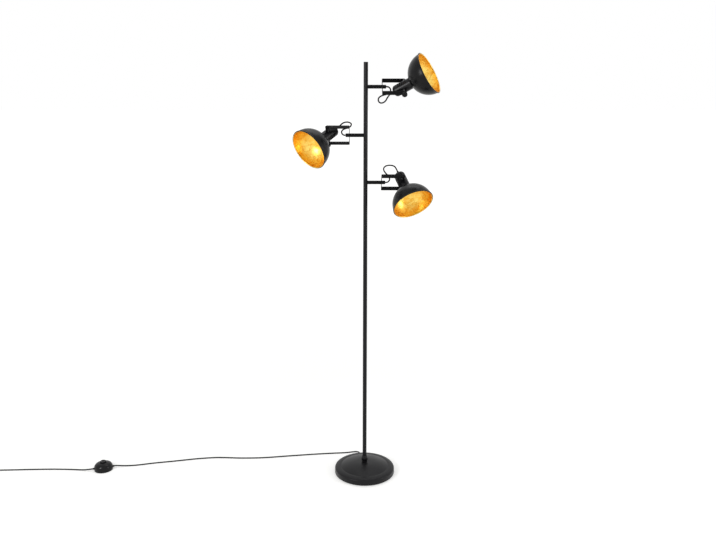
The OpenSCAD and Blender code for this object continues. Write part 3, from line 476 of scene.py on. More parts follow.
def makeMainsCords(c):
    section = ring(c["radius"], c["columns"])
    route = smoothPath(extended(np.array(mainsRoute) * mm, c["inGland"], c["inGland"]), c["spacing"])
    mains = makePiece("mainsCord", [shell(swept(route, section, up))], finishes["blackPvc"])
    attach(mains, "stand")
    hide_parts("mains_cord")
    tail = np.array([plugPlace + (0, y * mm, z * mm) for y, z in tailRoute])
    lead = extended(np.array(plugRoute) * mm, c["inGland"], 0)[:-1]
    wound = coilPath(coil)
    plugPath = smoothPath(np.vstack([lead, wound[1::3], tail]), c["spacing"])
    plugLead = makePiece("plugCord", [shell(swept(plugPath, section, up))], finishes["blackPvc"])
    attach(plugLead, "stand")
    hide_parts("plug_cord", "cord_coil")
    return mains, route, plugLead, plugPath


mainsCord, mainsPath, plugCord, plugPath = makeMainsCords(cord)


def lengthOf(path):
    return float(np.linalg.norm(np.diff(path, axis=0), axis=1).sum())


print("mains cords: %.3f m and %.3f m" % (lengthOf(mainsPath), lengthOf(plugPath)))


# A spot's own axes: x points out of the shade, z along the tilt screws; its origin is the tilt axis
def spotFrame(i):
    tilt = joints[f"tilt_{i}"]
    forward = unitRows(np.array(mounts[f"lamp_{i}"]["axis"], float))
    screws = unitRows(np.array(tilt["axis"], float))
    return np.array(tilt["pos_m"], float), forward, unitRows(np.cross(screws, forward)), screws


# The yoke's own axes: x along the arm, z along its tilt screws; its origin is on the pole's axis
def yokeFrame(i):
    swivel, tilt = joints[f"swivel_{i}"], joints[f"tilt_{i}"]
    outward = unitRows(np.array(swivel["axis"], float))
    screws = unitRows(np.array(tilt["axis"], float))
    origin = np.array([0, 0, swivel["pos_m"][2]])
    return origin, outward, np.cross(screws, outward), screws


spotCable = {
    "radius": 2.5 * mm,
    "columns": 12,
    "spacing": 2 * mm,
    "inNut": 0.0,  # the cable starts at the nut's face
    "inGland": 3 * mm,
}
# From the arm's nut to the spot's gland, in millimetres: x, y and height above the arm
cableRoutes = {
    1: [(70.8, 0, 0), (75.5, 0, -0.2), (82, 0.6, -3.5), (86.4, 2, -11), (82, 4.5, -20),
        (73, 6.5, -25.5), (63, 8, -28.5), (53.5, 9.5, -32), (45.5, 11.5, -38.5),
        (44.5, 14.5, -48.5), (51.5, 17.5, -55.5), (61.5, 19.5, -54.5), (70, 20.5, -48),
        (75.5, 20.7, -38.5), (83.8, 18.5, -27.5), (89.6, 16.4, -24.2)],
    2: [(-70.8, 0, 0), (-75.5, 0, 0.2), (-81.5, 0.8, 3.6), (-84.5, 3, 11), (-79, 6, 19),
        (-70, 8.5, 22.5), (-61, 10.5, 25), (-53, 13, 30), (-50.5, 18, 37.5), (-56, 24.5, 42),
        (-64, 30.5, 43.5), (-72, 36.5, 42.5), (-80, 41, 39.5), (-87.5, 42.3, 33.8),
        (-94.9, 36.8, 26.7), (-99.4, 32.4, 23.5)],
    3: [(70.8, 0, 0), (75.5, 0, 0.2), (81.5, 0.7, 2.8), (86, 3.5, 10), (84, 7.5, 19),
        (78, 11, 26), (71, 14.5, 32.5), (66, 18.5, 40), (65.5, 23.5, 48), (71.5, 29, 54),
        (80.5, 33.5, 56.5), (90, 37.5, 56.5), (99.5, 41, 54.5), (107, 42.5, 49.5),
        (112.7, 38.7, 40.1), (115.1, 34.1, 35.4)],
}


def makeSpotCable(i, c):
    armZ = joints[f"swivel_{i}"]["pos_m"][2]
    route = np.array(cableRoutes[i], float) * mm + (0, 0, armZ)
    path = smoothPath(extended(route, c["inNut"], c["inGland"]), c["spacing"])
    grid = swept(path, ring(c["radius"], c["columns"]), np.array([0.0, 1.0, 0.0]))
    cable = makePiece(f"spotCable_{i}", [shell(grid)], finishes["blackPvc"])
    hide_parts(f"spot_cable_{i}")
    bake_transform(cable)


forEachSpot(makeSpotCable, spotCable, "spot cables")


shade = {
    "domeRadius": 73 * mm,
    "wall": 1 * mm,
    "centre": 99 * mm,  # of the dome, from the tilt axis
    "beadRadius": 2 * mm,
    "crownRadius": 22 * mm,
    "crownHole": 14.2 * mm,
    "domeEnd": 88.2,  # degrees from the axis, where the outer wall meets the bead
    "innerEnd": 88.4,
    "domeSteps": 44,
    "beadTurn": (176, -149),  # degrees round the bead, from the outer wall to the inner
    "beadSteps": 28,
    "leaf": 0.2 * mm,
    "leafSink": 0.05 * mm,  # into the wall, so that no gap shows
    "leafTurn": (-145, -25),  # degrees round the bead, short of its front
    "leafSteps": 16,
    "leafStart": 19.8 * mm,  # radius where the leaf comes out from under the clamp ring
    "columns": 128,
}
shade["innerRadius"] = shade["domeRadius"] - shade["wall"]


def domePoint(s, radius, angles):
    a = np.radians(angles)
    return np.stack([s["centre"] - radius * np.cos(a), radius * np.sin(a)], -1)


# The dome's wall as one closed outline: the outer arc, round the rolled rim, the inner arc, the crown
def shadeProfile(s):
    outer, inner = s["domeRadius"], s["innerRadius"]
    crownOut = math.degrees(math.asin(s["crownRadius"] / outer))
    crownIn = math.degrees(math.asin(s["crownRadius"] / inner))
    outside = domePoint(s, outer, np.linspace(crownOut, s["domeEnd"], s["domeSteps"]))
    rim = arc((s["centre"], outer), s["beadRadius"], *s["beadTurn"], s["beadSteps"])
    inside = domePoint(s, inner, np.linspace(s["innerEnd"], crownIn, s["domeSteps"]))
    hole = [(inside[-1][0], s["crownHole"]), (outside[0][0], s["crownHole"])]
    return np.vstack([outside, rim, inside, hole])


# The leaf lies on the inner wall and round the front of the rim: that line, and the same line moved
# off the metal by the leaf's thickness
def leafProfile(s):
    inner = s["innerRadius"]
    crownIn = math.degrees(math.asin(s["crownRadius"] / inner))
    seat = domePoint(s, inner, [crownIn])[0]
    inside = domePoint(s, inner, np.linspace(crownIn, s["domeEnd"], s["domeSteps"]))
    rim = arc((s["centre"], s["domeRadius"]), s["beadRadius"], *s["leafTurn"], s["leafSteps"])
    line = np.vstack([[(seat[0], s["leafStart"])], inside, rim])
    tangent = unitRows(np.gradient(line, axis=0))
    off = np.stack([tangent[:, 1], -tangent[:, 0]], -1)
    return np.vstack([line - s["leafSink"] * off, (line + s["leaf"] * off)[::-1]])


def makeShade(i, s):
    origin, *axes = spotFrame(i)
    wall = placed(turned(shadeProfile(s), s["columns"]), origin, *axes)
    leaf = placed(turned(leafProfile(s), s["columns"]), origin, *axes)
    shadeShell = makePiece(f"shadeShell_{i}", [shell(wall, True)], finishes["shadeBlack"])
    lining = makePiece(f"goldLining_{i}", [shell(leaf, True)], finishes["goldLeaf"])
    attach(shadeShell, f"spot_{i}")
    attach(lining, f"spot_{i}")
    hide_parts(f"shade_{i}")


forEachSpot(makeShade, shade, "shades")


holder = {
    "radius": 14 * mm,
    "mouth": 41.44 * mm,
    "tail": -1.16 * mm,
    "boreRadius": 7.05 * mm,
    "boreDepth": 20 * mm,
    "roomRadius": 7.75 * mm,
    "roomDepth": 4.6 * mm,
    "threadStart": 33 * mm,
    "threadPitch": 2.2 * mm,
    "threadDepth": 0.55 * mm,
    "threads": 3,
    "stepsPerThread": 12,
    "tailEdge": 0.8 * mm,
    "mouthEdge": 0.7 * mm,
    "boreEdge": 0.6 * mm,
    "columns": 96,
    "ringSeat": 30.66 * mm,
    "ringHeight": 7.8 * mm,
    "ringRadius": 19.5 * mm,
    "ringBore": 14.05 * mm,
    "ringNotches": 12,
    "notchDepth": 0.06,  # share of the ring's radius
    "ringEdge": 0.9 * mm,
    "ringColumns": 144,
}


# A turned skirt with rounded thread crests outside and a round mouth for the lamp's thread
def holderProfile(h):
    r, floorX = h["radius"], h["mouth"] - h["boreDepth"] - h["roomDepth"]
    t = np.linspace(0, h["threads"], h["stepsPerThread"] * h["threads"] + 1)
    crest = 0.5 * h["threadDepth"] * (1 - np.cos(2 * np.pi * t))
    thread = np.stack([h["threadStart"] + t * h["threadPitch"], r - crest], -1)
    outline = [(h["tail"], onAxis), (h["tail"], r - h["tailEdge"]), (h["tail"] + h["tailEdge"], r)]
    roomX = floorX + h["roomDepth"]
    bore = [(h["mouth"] - h["boreEdge"], h["boreRadius"]), (roomX, h["boreRadius"]),
            (roomX, h["roomRadius"]), (floorX, h["roomRadius"]), (floorX, onAxis)]
    edge = [(h["mouth"] - h["mouthEdge"], r), (h["mouth"], r - h["mouthEdge"]),
            (h["mouth"], h["boreRadius"] + h["boreEdge"])]
    return np.vstack([outline, thread, edge, bore])


# The clamp ring: a short turned ring whose rim dips inward at evenly spaced finger notches
def ringShell(h):
    outline = softened([(h["ringSeat"], h["ringBore"]), (h["ringSeat"], h["ringRadius"]),
                        (h["ringSeat"] + h["ringHeight"], h["ringRadius"]),
                        (h["ringSeat"] + h["ringHeight"], h["ringBore"])], h["ringEdge"])

    def notches(angle, along):
        wave = 0.5 + 0.5 * np.cos(h["ringNotches"] * angle)
        return 1 - h["notchDepth"] * wave**6 * np.ones_like(along)

    grid = turned(outline, h["ringColumns"], notches)
    innerRows = outline[:, 1] < h["ringBore"] + 1.0 * mm  # the bore stays round
    grid[innerRows] = turned(outline[innerRows], h["ringColumns"])
    return grid


def makeHolder(i, h):
    origin, *axes = spotFrame(i)
    skirt = placed(turned(holderProfile(h), h["columns"]), origin, *axes)
    clamp = placed(ringShell(h), origin, *axes)
    piece = makePiece(f"lampHolder_{i}", [shell(skirt), shell(clamp, True)], finishes["phenolic"])
    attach(piece, f"spot_{i}")
    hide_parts(f"lampholder_{i}")


forEachSpot(makeHolder, holder, "lampholders")


knob = {
    "seat": 37.7 * mm,  # from the spot's axis out to the knob's foot
    "height": 11.5 * mm,
    "radius": 9.5 * mm,
    "footRadius": 5 * mm,
    "grooves": 20,
    "grooveDepth": 0.10,  # share of the radius
    "shankRadius": 2.5 * mm,
    "shankStart": 25.5 * mm,
    "shankColumns": 32,
    "rimRadius": 6.5 * mm,  # of the flat top
    "rimEdge": 1.3 * mm,
    "dishRadius": 5.8 * mm,
    "dishDepth": 0.7 * mm,
    "plainRadius": 7 * mm,  # inside it nothing is fluted
    "columns": 160,
}


# A moulded knob: a turned body whose rim is fluted by a row of round grooves, with a shallow dish on top
def knobShells(k):
    top, r = k["seat"] + k["height"], k["radius"]
    foot = [(k["seat"], onAxis), (k["seat"], k["footRadius"]), (k["seat"] + 1.5 * mm, k["footRadius"])]
    side = softened([(k["seat"] + 1.8 * mm, k["footRadius"] + 0.3 * mm), (k["seat"] + 2 * mm, r - 0.2 * mm),
                     (top - 0.1 * mm, r), (top, k["rimRadius"])], k["rimEdge"], 6, closed=False)
    floor = top - k["dishDepth"]
    dish = [(top - 0.5 * mm, k["dishRadius"]), (floor, 3 * mm), (floor, onAxis)]
    outline = np.vstack([foot, side, dish])

    def flutes(angle, along):
        groove = (0.5 + 0.5 * np.cos(k["grooves"] * angle)) ** 2
        return 1 - k["grooveDepth"] * groove * np.ones_like(along)

    grid = turned(outline, k["columns"], flutes)
    plain = outline[:, 1] < k["plainRadius"]
    grid[plain] = turned(outline[plain], k["columns"])
    shank = turned([(k["shankStart"], k["shankRadius"]), (k["seat"] + 3 * mm, k["shankRadius"])],
                   k["shankColumns"])
    return [grid, shank]


def makeKnob(i, k):
    origin, forward, sideways, screws = spotFrame(i)
    grids = [placed(g, origin, -screws, sideways, forward) for g in knobShells(k)]
    piece = makePiece(f"tiltKnob_{i}", [shell(g) for g in grids], finishes["knobBlack"])
    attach(piece, f"spot_{i}")
    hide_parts(f"tilt_knob_{i}")


forEachSpot(makeKnob, knob, "tilt knobs")


spotGland = {
    "back": -52 * mm,
    "seat": -42.02 * mm,
    "tipRadius": 3.25 * mm,
    "rootRadius": 5.0 * mm,
    "boreRadius": 2.55 * mm,
    "ribs": 3,
    "ribDepth": 0.45 * mm,
    "columns": 48,
}


# A tapered sleeve whose radius falls evenly to the tip, less one rounded groove for each rib, of 14 steps
def sleeveProfile(back, front, tipRadius, rootRadius, boreRadius, ribs, depth):
    t = np.linspace(0, 1, 14 * ribs + 1)
    groove = depth * (0.5 - 0.5 * np.cos(2 * np.pi * ribs * t)) ** 2
    outside = np.stack([back + (front - back) * t, tipRadius + (rootRadius - tipRadius) * t - groove], -1)
    return np.vstack([[(back, boreRadius)], outside, [(front, boreRadius)]])


def makeSpotGland(i, g):
    origin, *axes = spotFrame(i)
    profile = sleeveProfile(g["back"], g["seat"], g["tipRadius"], g["rootRadius"], g["boreRadius"],
                            g["ribs"], g["ribDepth"])
    grid = placed(turned(profile, g["columns"]), origin, *axes)
    piece = makePiece(f"spotGland_{i}", [shell(grid, True)], finishes["blackPvc"])
    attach(piece, f"spot_{i}")
    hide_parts(f"cable_gland_{i}")


forEachSpot(makeSpotGland, spotGland, "spot glands")


yoke = {
    "webX": 57 * mm,  # the middle of the strip's web
    "pivotX": 133 * mm,
    "legZ": 36.5 * mm,
    "bend": 2.5 * mm,  # radius of the strip's middle line
    "width": 16 * mm,
    "thickness": 2 * mm,
    "edge": 0.45 * mm,
}


# A strip bent to a U: its middle line runs out along one leg, round two bends and back along the other.
# Near a leg's end the half width is the chord of a round end, the root of radius squared less distance
# squared.
def makeYoke(i, y):
    half = y["width"] / 2
    endSteps = half * np.sin(np.radians(np.linspace(89.5, 0, 14)))
    legIn = np.concatenate([y["pivotX"] + endSteps, np.linspace(y["pivotX"], y["webX"] + y["bend"], 10)[1:]])
    top = np.stack([legIn, np.full_like(legIn, y["legZ"])], -1)
    bendTop = arc((y["webX"] + y["bend"], y["legZ"] - y["bend"]), y["bend"], 90, 180, 8)[1:]
    line = np.vstack([top, bendTop])
    line = np.vstack([line, (line * (1, -1))[::-1]])
    reach = np.clip(line[:, 0] - y["pivotX"], 0, half)
    widths = np.sqrt(np.maximum(half**2 - reach**2, (0.02 * half) ** 2))
    path = np.stack([line[:, 0], np.zeros(len(line)), line[:, 1]], -1)
    h, t = half, y["thickness"] / 2
    section = softened([(-h, -t), (h, -t), (h, t), (-h, t)], y["edge"], 3)
    sections = np.repeat(section[None], len(path), 0)
    sections[..., 0] *= (widths / half)[:, None]
    grid = placed(swept(path, sections, np.array([0.0, 1.0, 0.0])), *yokeFrame(i))
    piece = makePiece(f"yokeStrip_{i}", [shell(grid)], finishes["yokeBlack"])
    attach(piece, f"yoke_{i}")
    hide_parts(f"yoke_{i}")


forEachSpot(makeYoke, yoke, "yokes")


base = {
    "radius": 115.5 * mm,
    "lift": 2.6 * mm,
    "wall": 1.2 * mm,
    "taper": 0.5 * mm,
    "sideTop": 19 * mm,
    "shoulder": 24 * mm,
    "edgeZ": 28 * mm,
    "crownZ": 44 * mm,
    "seatRadius": 16 * mm,
    "boreRadius": 6.6 * mm,
    "sideEdge": 0.5 * mm,
    "taperShare": 0.96,  # of the taper, reached where the shoulder starts
    "shoulderSteps": 32,
    "domeSteps": 60,
    "lipEdge": 0.3 * mm,
    "columns": 192,
}


# The cover as a turned sheet: side wall, a quarter of an ellipse over the shoulder, and inside a shallow
# crease a dome whose height falls with the square of the distance from the seat
def coverLine(b, inset):
    r, crownZ = b["radius"] - inset, b["crownZ"] - inset
    edgeZ, shoulder = b["edgeZ"] - inset, b["shoulder"] - inset / 2
    topR = r - b["taper"] - shoulder
    side = [(b["lift"] + b["sideEdge"], r), (b["sideTop"] - b["sideEdge"], r - b["taper"] * b["taperShare"])]
    a = np.radians(np.linspace(0, 90, b["shoulderSteps"]))
    over = np.stack([b["sideTop"] + (edgeZ - b["sideTop"]) * np.sin(a), topR + shoulder * np.cos(a)], -1)
    q = np.linspace(1, 0, b["domeSteps"])[1:]
    rimZ, rimR = over[-1]
    dome = np.stack([rimZ + (crownZ - rimZ) * (1 - q**2), b["seatRadius"] + (rimR - b["seatRadius"]) * q], -1)
    return np.vstack([side, over, dome, [(crownZ, b["boreRadius"])]])


def makeBaseCover(b):
    outside, inside = coverLine(b, 0), coverLine(b, b["wall"])
    lip = [(b["lift"], b["radius"] - b["wall"] + b["lipEdge"]), (b["lift"], b["radius"] - b["lipEdge"])]
    grid = turnedUpright(np.vstack([outside, inside[::-1], lip]), b["columns"])
    piece = makePiece("baseCover", [shell(grid, True)], finishes["baseBlack"])
    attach(piece, "stand")
    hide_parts("base_cover")


ferrule = {
    "foot": 44.02 * mm,
    "height": 25 * mm,
    "radius": 12 * mm,
    "poleRadius": 7.7 * mm,
    "clearance": 0.05 * mm,  # round the pole
    "footWall": 1.8 * mm,
    "swellMiddle": 0.52,  # shares of the height
    "swellHalf": 0.44,
    "swellSink": 1 * mm,
    "collarWall": 0.9 * mm,
    "topWall": 0.6 * mm,
    "topEdge": 0.3 * mm,
    "columns": 96,
}


# A turned ferrule: a short foot, a rounded swell as part of an ellipse, and a thin collar at the pole
def makeFerrule(f):
    pole, top = f["poleRadius"], f["foot"] + f["height"]
    lowRadius = pole + f["footWall"]
    a = np.radians(np.linspace(-80, 80, 40))
    swellMiddle, swellHalf = f["swellMiddle"] * f["height"], f["swellHalf"] * f["height"]
    swellRadius = lowRadius - f["swellSink"] + (f["radius"] - lowRadius + f["swellSink"]) * np.cos(a)
    swell = np.stack([f["foot"] + swellMiddle + swellHalf * np.sin(a), swellRadius], -1)
    outline = np.vstack([[(f["foot"], pole + f["clearance"]), (f["foot"], lowRadius)], swell,
                         [(top - f["topEdge"], pole + f["collarWall"]), (top, pole + f["topWall"]),
                          (top, pole + f["clearance"])]])
    grid = turnedUpright(outline, f["columns"])
    piece = makePiece("footFerrule", [shell(grid, True)], finishes["poleBlack"])
    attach(piece, "stand")
    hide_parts("base_ferrule")


makeBaseCover(base)
makeFerrule(ferrule)
print("base: cover and ferrule")

strainRelief = {
    "turn": 8,  # degrees from +Y, about the pole
    "flangeY": 115.52 * mm,
    "z": 7 * mm,
    "flangeRadius": 6 * mm,
    "flangeThickness": 2 * mm,
    "end": 137.5 * mm,
    "rootRadius": 5 * mm,
    "tipRadius": 3.3 * mm,
    "boreRadius": 2.52 * mm,
    "shankRadius": 4.5 * mm,
    "shank": 6 * mm,
    "ribs": 5,
    "ribDepth": 0.8 * mm,
    "flangeEdge": 0.6 * mm,
    "columns": 64,
}


# The relief is a sleeve behind a round flange, on a shank through the cover's wall
def makeStrainRelief(s):
    a = math.radians(s["turn"])
    outward = np.array([-math.sin(a), math.cos(a), 0.0])
    rightward = np.cross(outward, up)
    y = s["flangeY"]
    sleeve = sleeveProfile(s["end"], y + 1 * mm, s["tipRadius"], s["rootRadius"], s["boreRadius"],
                           s["ribs"], s["ribDepth"])
    flange = softened([(y, s["boreRadius"]), (y, s["flangeRadius"]),
                       (y + s["flangeThickness"], s["flangeRadius"]),
                       (y + s["flangeThickness"], s["boreRadius"])], s["flangeEdge"])
    shank = [(y - s["shank"], s["boreRadius"]), (y - s["shank"], s["shankRadius"]),
             (y + 0.5 * mm, s["shankRadius"]), (y + 0.5 * mm, s["boreRadius"])]
    grids = [placed(turned(g, s["columns"]), (0, 0, s["z"]), outward, rightward, up)
             for g in (sleeve, flange, shank)]
    piece = makePiece("strainRelief", [shell(g, True) for g in grids], finishes["blackPvc"])
    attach(piece, "stand")
    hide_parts("cord_gland")


makeStrainRelief(strainRelief)


footSwitch = {
    "place": (-1026 * mm, 15 * mm, 0.0),
    "turn": 18,
    "halfLength": 36 * mm,
    "halfWidth": 35 * mm,
    "sole": 4.5 * mm,
    "domeTop": 30 * mm,
    "collarTop": 31 * mm,
    "collarRadius": 14.5 * mm,
    "wellRadius": 11.4 * mm,
    "wellFloor": 11 * mm,
    "sidePower": 0.6,
    "topPower": 0.8,
    "skirt": 0.5 * mm,  # of the cover's foot above the sole
    "edge": 0.5 * mm,
    "topLift": 73,  # degrees, where the dome meets the collar
    "lifts": 30,
    "columns": 144,
}


def switchAxes(f):
    a = math.radians(f["turn"])
    along = np.array([math.cos(a), math.sin(a), 0.0])
    return along, np.cross(up, along), up


# The dome's height is a power of the sine of its lift, an angle from its foot to its top
def domeRise(f, lift):
    return f["sole"] + f["skirt"] + (f["domeTop"] - f["sole"] - f["skirt"]) * np.sin(lift) ** f["topPower"]


# The cover is an oval dome: at each lift the plan is an ellipse scaled by a power of the cosine. It runs
# up into a round collar and down into the button's well.
def makeSwitchCover(f):
    lift = np.radians(np.linspace(0, f["topLift"], f["lifts"]))
    shrink, heights = np.cos(lift) ** f["sidePower"], domeRise(f, lift)
    a = np.linspace(0, 2 * np.pi, f["columns"], endpoint=False)
    dome = np.stack([f["halfLength"] * shrink[:, None] * np.cos(a),
                     f["halfWidth"] * shrink[:, None] * np.sin(a),
                     np.repeat(heights[:, None], len(a), 1)], -1)
    edge, top = f["edge"], f["collarTop"]
    collar = [(heights[-1] + 0.15 * mm, f["collarRadius"] + edge), (heights[-1] + edge, f["collarRadius"]),
              (top - edge, f["collarRadius"] - 0.1 * mm), (top, f["collarRadius"] - 0.7 * mm),
              (top, f["wellRadius"] + edge), (top - edge, f["wellRadius"]),
              (f["wellFloor"], f["wellRadius"])]
    height, radius = np.array(collar).T[:, :, None]
    rings = np.stack([radius * np.cos(a), radius * np.sin(a), height + 0 * a], -1)
    bottom = dome[:1] * (0.99, 0.99, 1) - (0, 0, 0.45 * mm)  # tucked in under the foot
    return shell(np.concatenate([bottom, dome, rings]))


# Grip ribs lie across the cover's tread as low rounded bars, each following the dome's own height
switchRibs = {
    "count": 3,
    "spacing": 4.2 * mm,
    "start": 18.5 * mm,
    "halfWidth": 1.1 * mm,
    "lift": 0.9 * mm,
    "sink": 0.2 * mm,
    "reach": 0.66,  # share of the cover's half width there
    "columns": 12,
}


def domeHeight(f, x, y):
    shrink = np.minimum(np.hypot(x / f["halfLength"], y / f["halfWidth"]), 0.999)
    return domeRise(f, np.arccos(shrink ** (1 / f["sidePower"])))


def makeSwitchRib(f, r, x):
    reach = r["reach"] * f["halfWidth"] * math.sqrt(1 - (x / f["halfLength"]) ** 2)
    y = np.linspace(-reach, reach, 33)
    path = np.stack([np.full_like(y, x), y, domeHeight(f, np.full_like(y, x), y) - r["sink"]], -1)
    size = np.sqrt(np.clip(1 - (y / reach) ** 6, 0.02, 1))
    section = ring(1.0, r["columns"]) * (r["halfWidth"], r["lift"])
    return shell(swept(path, section[None] * size[:, None, None], np.array([1.0, 0.0, 0.0])))


# A tapered cone round the cord at each end of the cover, with three relief grooves
switchBushes = {
    "end": 40.5 * mm,
    "z": 8 * mm,
    "sink": 5 * mm,  # into the cover
    "tipRadius": 3.4 * mm,
    "rootRadius": 5.4 * mm,
    "boreRadius": 2.52 * mm,
    "ribs": 3,
    "ribDepth": 0.6 * mm,
    "columns": 48,
}


def makeSwitchBush(f, b, side):
    profile = sleeveProfile(b["end"], f["halfLength"] - b["sink"], b["tipRadius"], b["rootRadius"],
                            b["boreRadius"], b["ribs"], b["ribDepth"])
    axes = (np.array([side, 0, 0.0]), np.array([0, side, 0.0]), up)
    return shell(placed(turned(profile, b["columns"]), (0, 0, b["z"]), *axes), True)


def atSwitch(f, shells):
    axes = switchAxes(f)
    return [(placed(points, f["place"], *axes), quads, ends) for points, quads, ends in shells]


def makeSwitch(f):
    ribs = [makeSwitchRib(f, switchRibs, switchRibs["start"] + k * switchRibs["spacing"])
            for k in range(switchRibs["count"])]
    bushes = [makeSwitchBush(f, switchBushes, side) for side in (1, -1)]
    shells = [makeSwitchCover(f), *bushes, *ribs]
    cover = makePiece("switchCover", atSwitch(f, shells), finishes["switchPlastic"])
    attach(cover, "stand")
    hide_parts("switch_cover")


switchButton = {
    "foot": 14.5 * mm,
    "top": 36 * mm,
    "radius": 11 * mm,
    "boreTop": 33.5 * mm,  # the spring stands in this bore
    "boreRadius": 7.9 * mm,
    "dish": 0.9 * mm,
    "shoulder": 2.2 * mm,
    "dishStart": 2.6 * mm,  # in from the side
    "rings": 3,
    "ringShare": 0.75,  # of the way to the middle
    "ringDepth": 0.35 * mm,
    "columns": 96,
}


# A moulded button: a plain side, a rounded shoulder, and a dished top with fine grip rings
def makeSwitchButton(f, b):
    side = softened([(b["foot"], b["radius"]), (b["top"], b["radius"]), (b["top"], b["radius"] - 4 * mm)],
                    b["shoulder"], 8, closed=False)[:-1]
    t = np.linspace(0, 1, 61)
    radius = (b["radius"] - b["dishStart"]) * (1 - t) + onAxis * t
    wave = 0.5 - 0.5 * np.cos(2 * np.pi * b["rings"] * t / b["ringShare"])
    dish = b["dish"] * (1 - (1 - t) ** 2)
    top = b["top"] - dish - b["ringDepth"] * np.where(t < b["ringShare"], wave, 0)
    bore = [(b["boreTop"], onAxis), (b["boreTop"], b["boreRadius"]), (b["foot"], b["boreRadius"])]
    outline = np.vstack([bore, side, np.stack([top, radius], -1)])
    shells = atSwitch(f, [shell(turnedUpright(outline, b["columns"]))])
    button = makePiece("switchButton", shells, finishes["switchPlastic"])
    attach(button, "foot_button")
    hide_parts("switch_button")


makeSwitch(footSwitch)
makeSwitchButton(footSwitch, switchButton)
print("foot switch: cover and button")


plug = {
    "relief": 20 * mm,
    "length": 36 * mm,
    "halfWidth": 17.5 * mm,
    "halfHeight": 6.85 * mm,
    "cordRadius": 3.3 * mm,
    "reliefSwell": 1.6 * mm,
    "grooves": 4,
    "grooveDepth": 0.5 * mm,
    "shoulderStart": 0.75,  # share of the relief
    "shoulderReach": 15 * mm,  # past the relief
    "cordPower": 2,
    "facePower": 5,
    "faceEdge": 1.2 * mm,
    "grips": 4,
    "gripStart": 12 * mm,  # past the relief
    "gripLength": 18 * mm,
    "gripDepth": 0.6 * mm,
    "columns": 72,
}


# The plug as a lofted body: at each station a rounded box whose corner power rises from 2, an ellipse
# at the cord, to 5 at the face, with finger ridges pressed into its broad sides
def makePlug(p):
    bodyStations = p["relief"] + np.linspace(0, p["length"], 60)[1:]
    stations = np.concatenate([np.linspace(0, p["relief"], 26), bodyStations])
    total = p["relief"] + p["length"]
    shoulder = (1 - p["shoulderStart"]) * p["relief"] + p["shoulderReach"]
    swellOut = np.clip((stations - p["shoulderStart"] * p["relief"]) / shoulder, 0, 1)
    ease = swellOut**2 * (3 - 2 * swellOut)
    along = np.clip(stations / p["relief"], 0, 1)
    groove = p["grooveDepth"] * (0.5 - 0.5 * np.cos(2 * np.pi * p["grooves"] * along)) ** 2
    sleeve = p["cordRadius"] + p["reliefSwell"] * along - groove * (stations < p["relief"])
    wide = sleeve + (p["halfWidth"] - sleeve) * ease
    tall = sleeve + (p["halfHeight"] - sleeve) * ease
    power = p["cordPower"] + (p["facePower"] - p["cordPower"]) * ease
    nearFace = ((stations - total + p["faceEdge"]) / p["faceEdge"]).clip(0, 1)
    endRound = np.sqrt(np.clip(1 - nearFace**2 * 0.5, 0, 1))
    a = np.linspace(0, 2 * np.pi, p["columns"], endpoint=False)[None, :]
    cosine, sine = np.cos(a), np.sin(a)
    q = 2 / power[:, None]
    x = np.sign(cosine) * np.abs(cosine) ** q * (wide * endRound)[:, None]
    gripAt = (stations - p["relief"] - p["gripStart"]) / p["gripLength"]
    gripWave = np.where((gripAt > 0) & (gripAt < 1), 0.5 - 0.5 * np.cos(2 * np.pi * p["grips"] * gripAt), 0)
    z = np.sign(sine) * np.abs(sine) ** q * ((tall - p["gripDepth"] * gripWave) * endRound)[:, None]
    y = np.repeat(stations[:, None], p["columns"], 1)
    grid = np.stack([x, y, z], -1) + plugPlace
    body = makePiece("plugBody", [shell(grid)], finishes["blackPvc"])
    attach(body, "stand")
    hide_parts("plug_body")
    return body


tie = {
    "thickness": 0.8 * mm,
    "width": 8 * mm,
    "turn": 50,  # degrees about the coil's middle
    "room": 1.2 * mm,  # at the bundle's sides
    "roomAbove": 0.3 * mm,
    "corner": 2.4 * mm,
    "edge": 0.3 * mm,
}


# A flat band carried round the coil's bundle: its path is a rounded box across the cord
def makeTie(t, c):
    low = c["innerRadius"] - cord["radius"] - t["room"] - t["thickness"] / 2
    high = c["outerRadius"] + cord["radius"] + t["room"] + t["thickness"] / 2
    bottom = t["thickness"] / 2
    top = c["z"] + c["pitch"] + cord["radius"] + t["roomAbove"] + t["thickness"] / 2
    loop = softened([(low, bottom), (high, bottom), (high, top), (low, top)], t["corner"], 8)
    nextPoint, lastPoint = np.roll(loop, -1, 0), np.roll(loop, 1, 0)
    along = unitRows(nextPoint - lastPoint)
    outward = np.stack([along[:, 1], -along[:, 0]], -1)
    h, w = t["thickness"] / 2, t["width"] / 2
    section = softened([(-h, -w), (h, -w), (h, w), (-h, w)], t["edge"], 2)
    flat = loop[:, None] + section[None, :, :1] * outward[:, None]
    grid = np.stack([flat[..., 0], np.broadcast_to(section[None, :, 1], flat.shape[:2]), flat[..., 1]], -1)
    a = math.radians(t["turn"])
    axes = (np.array([math.cos(a), math.sin(a), 0]), np.array([-math.sin(a), math.cos(a), 0]), up)
    band = makePiece("cordTie", [shell(placed(grid, (c["x"], c["y"], 0), *axes), True)], finishes["tieBand"])
    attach(band, "stand")
    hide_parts("cord_tie")
    return band


plugBody = makePlug(plug)
cordTie = makeTie(tie, coil)
print("plug and tie: made")


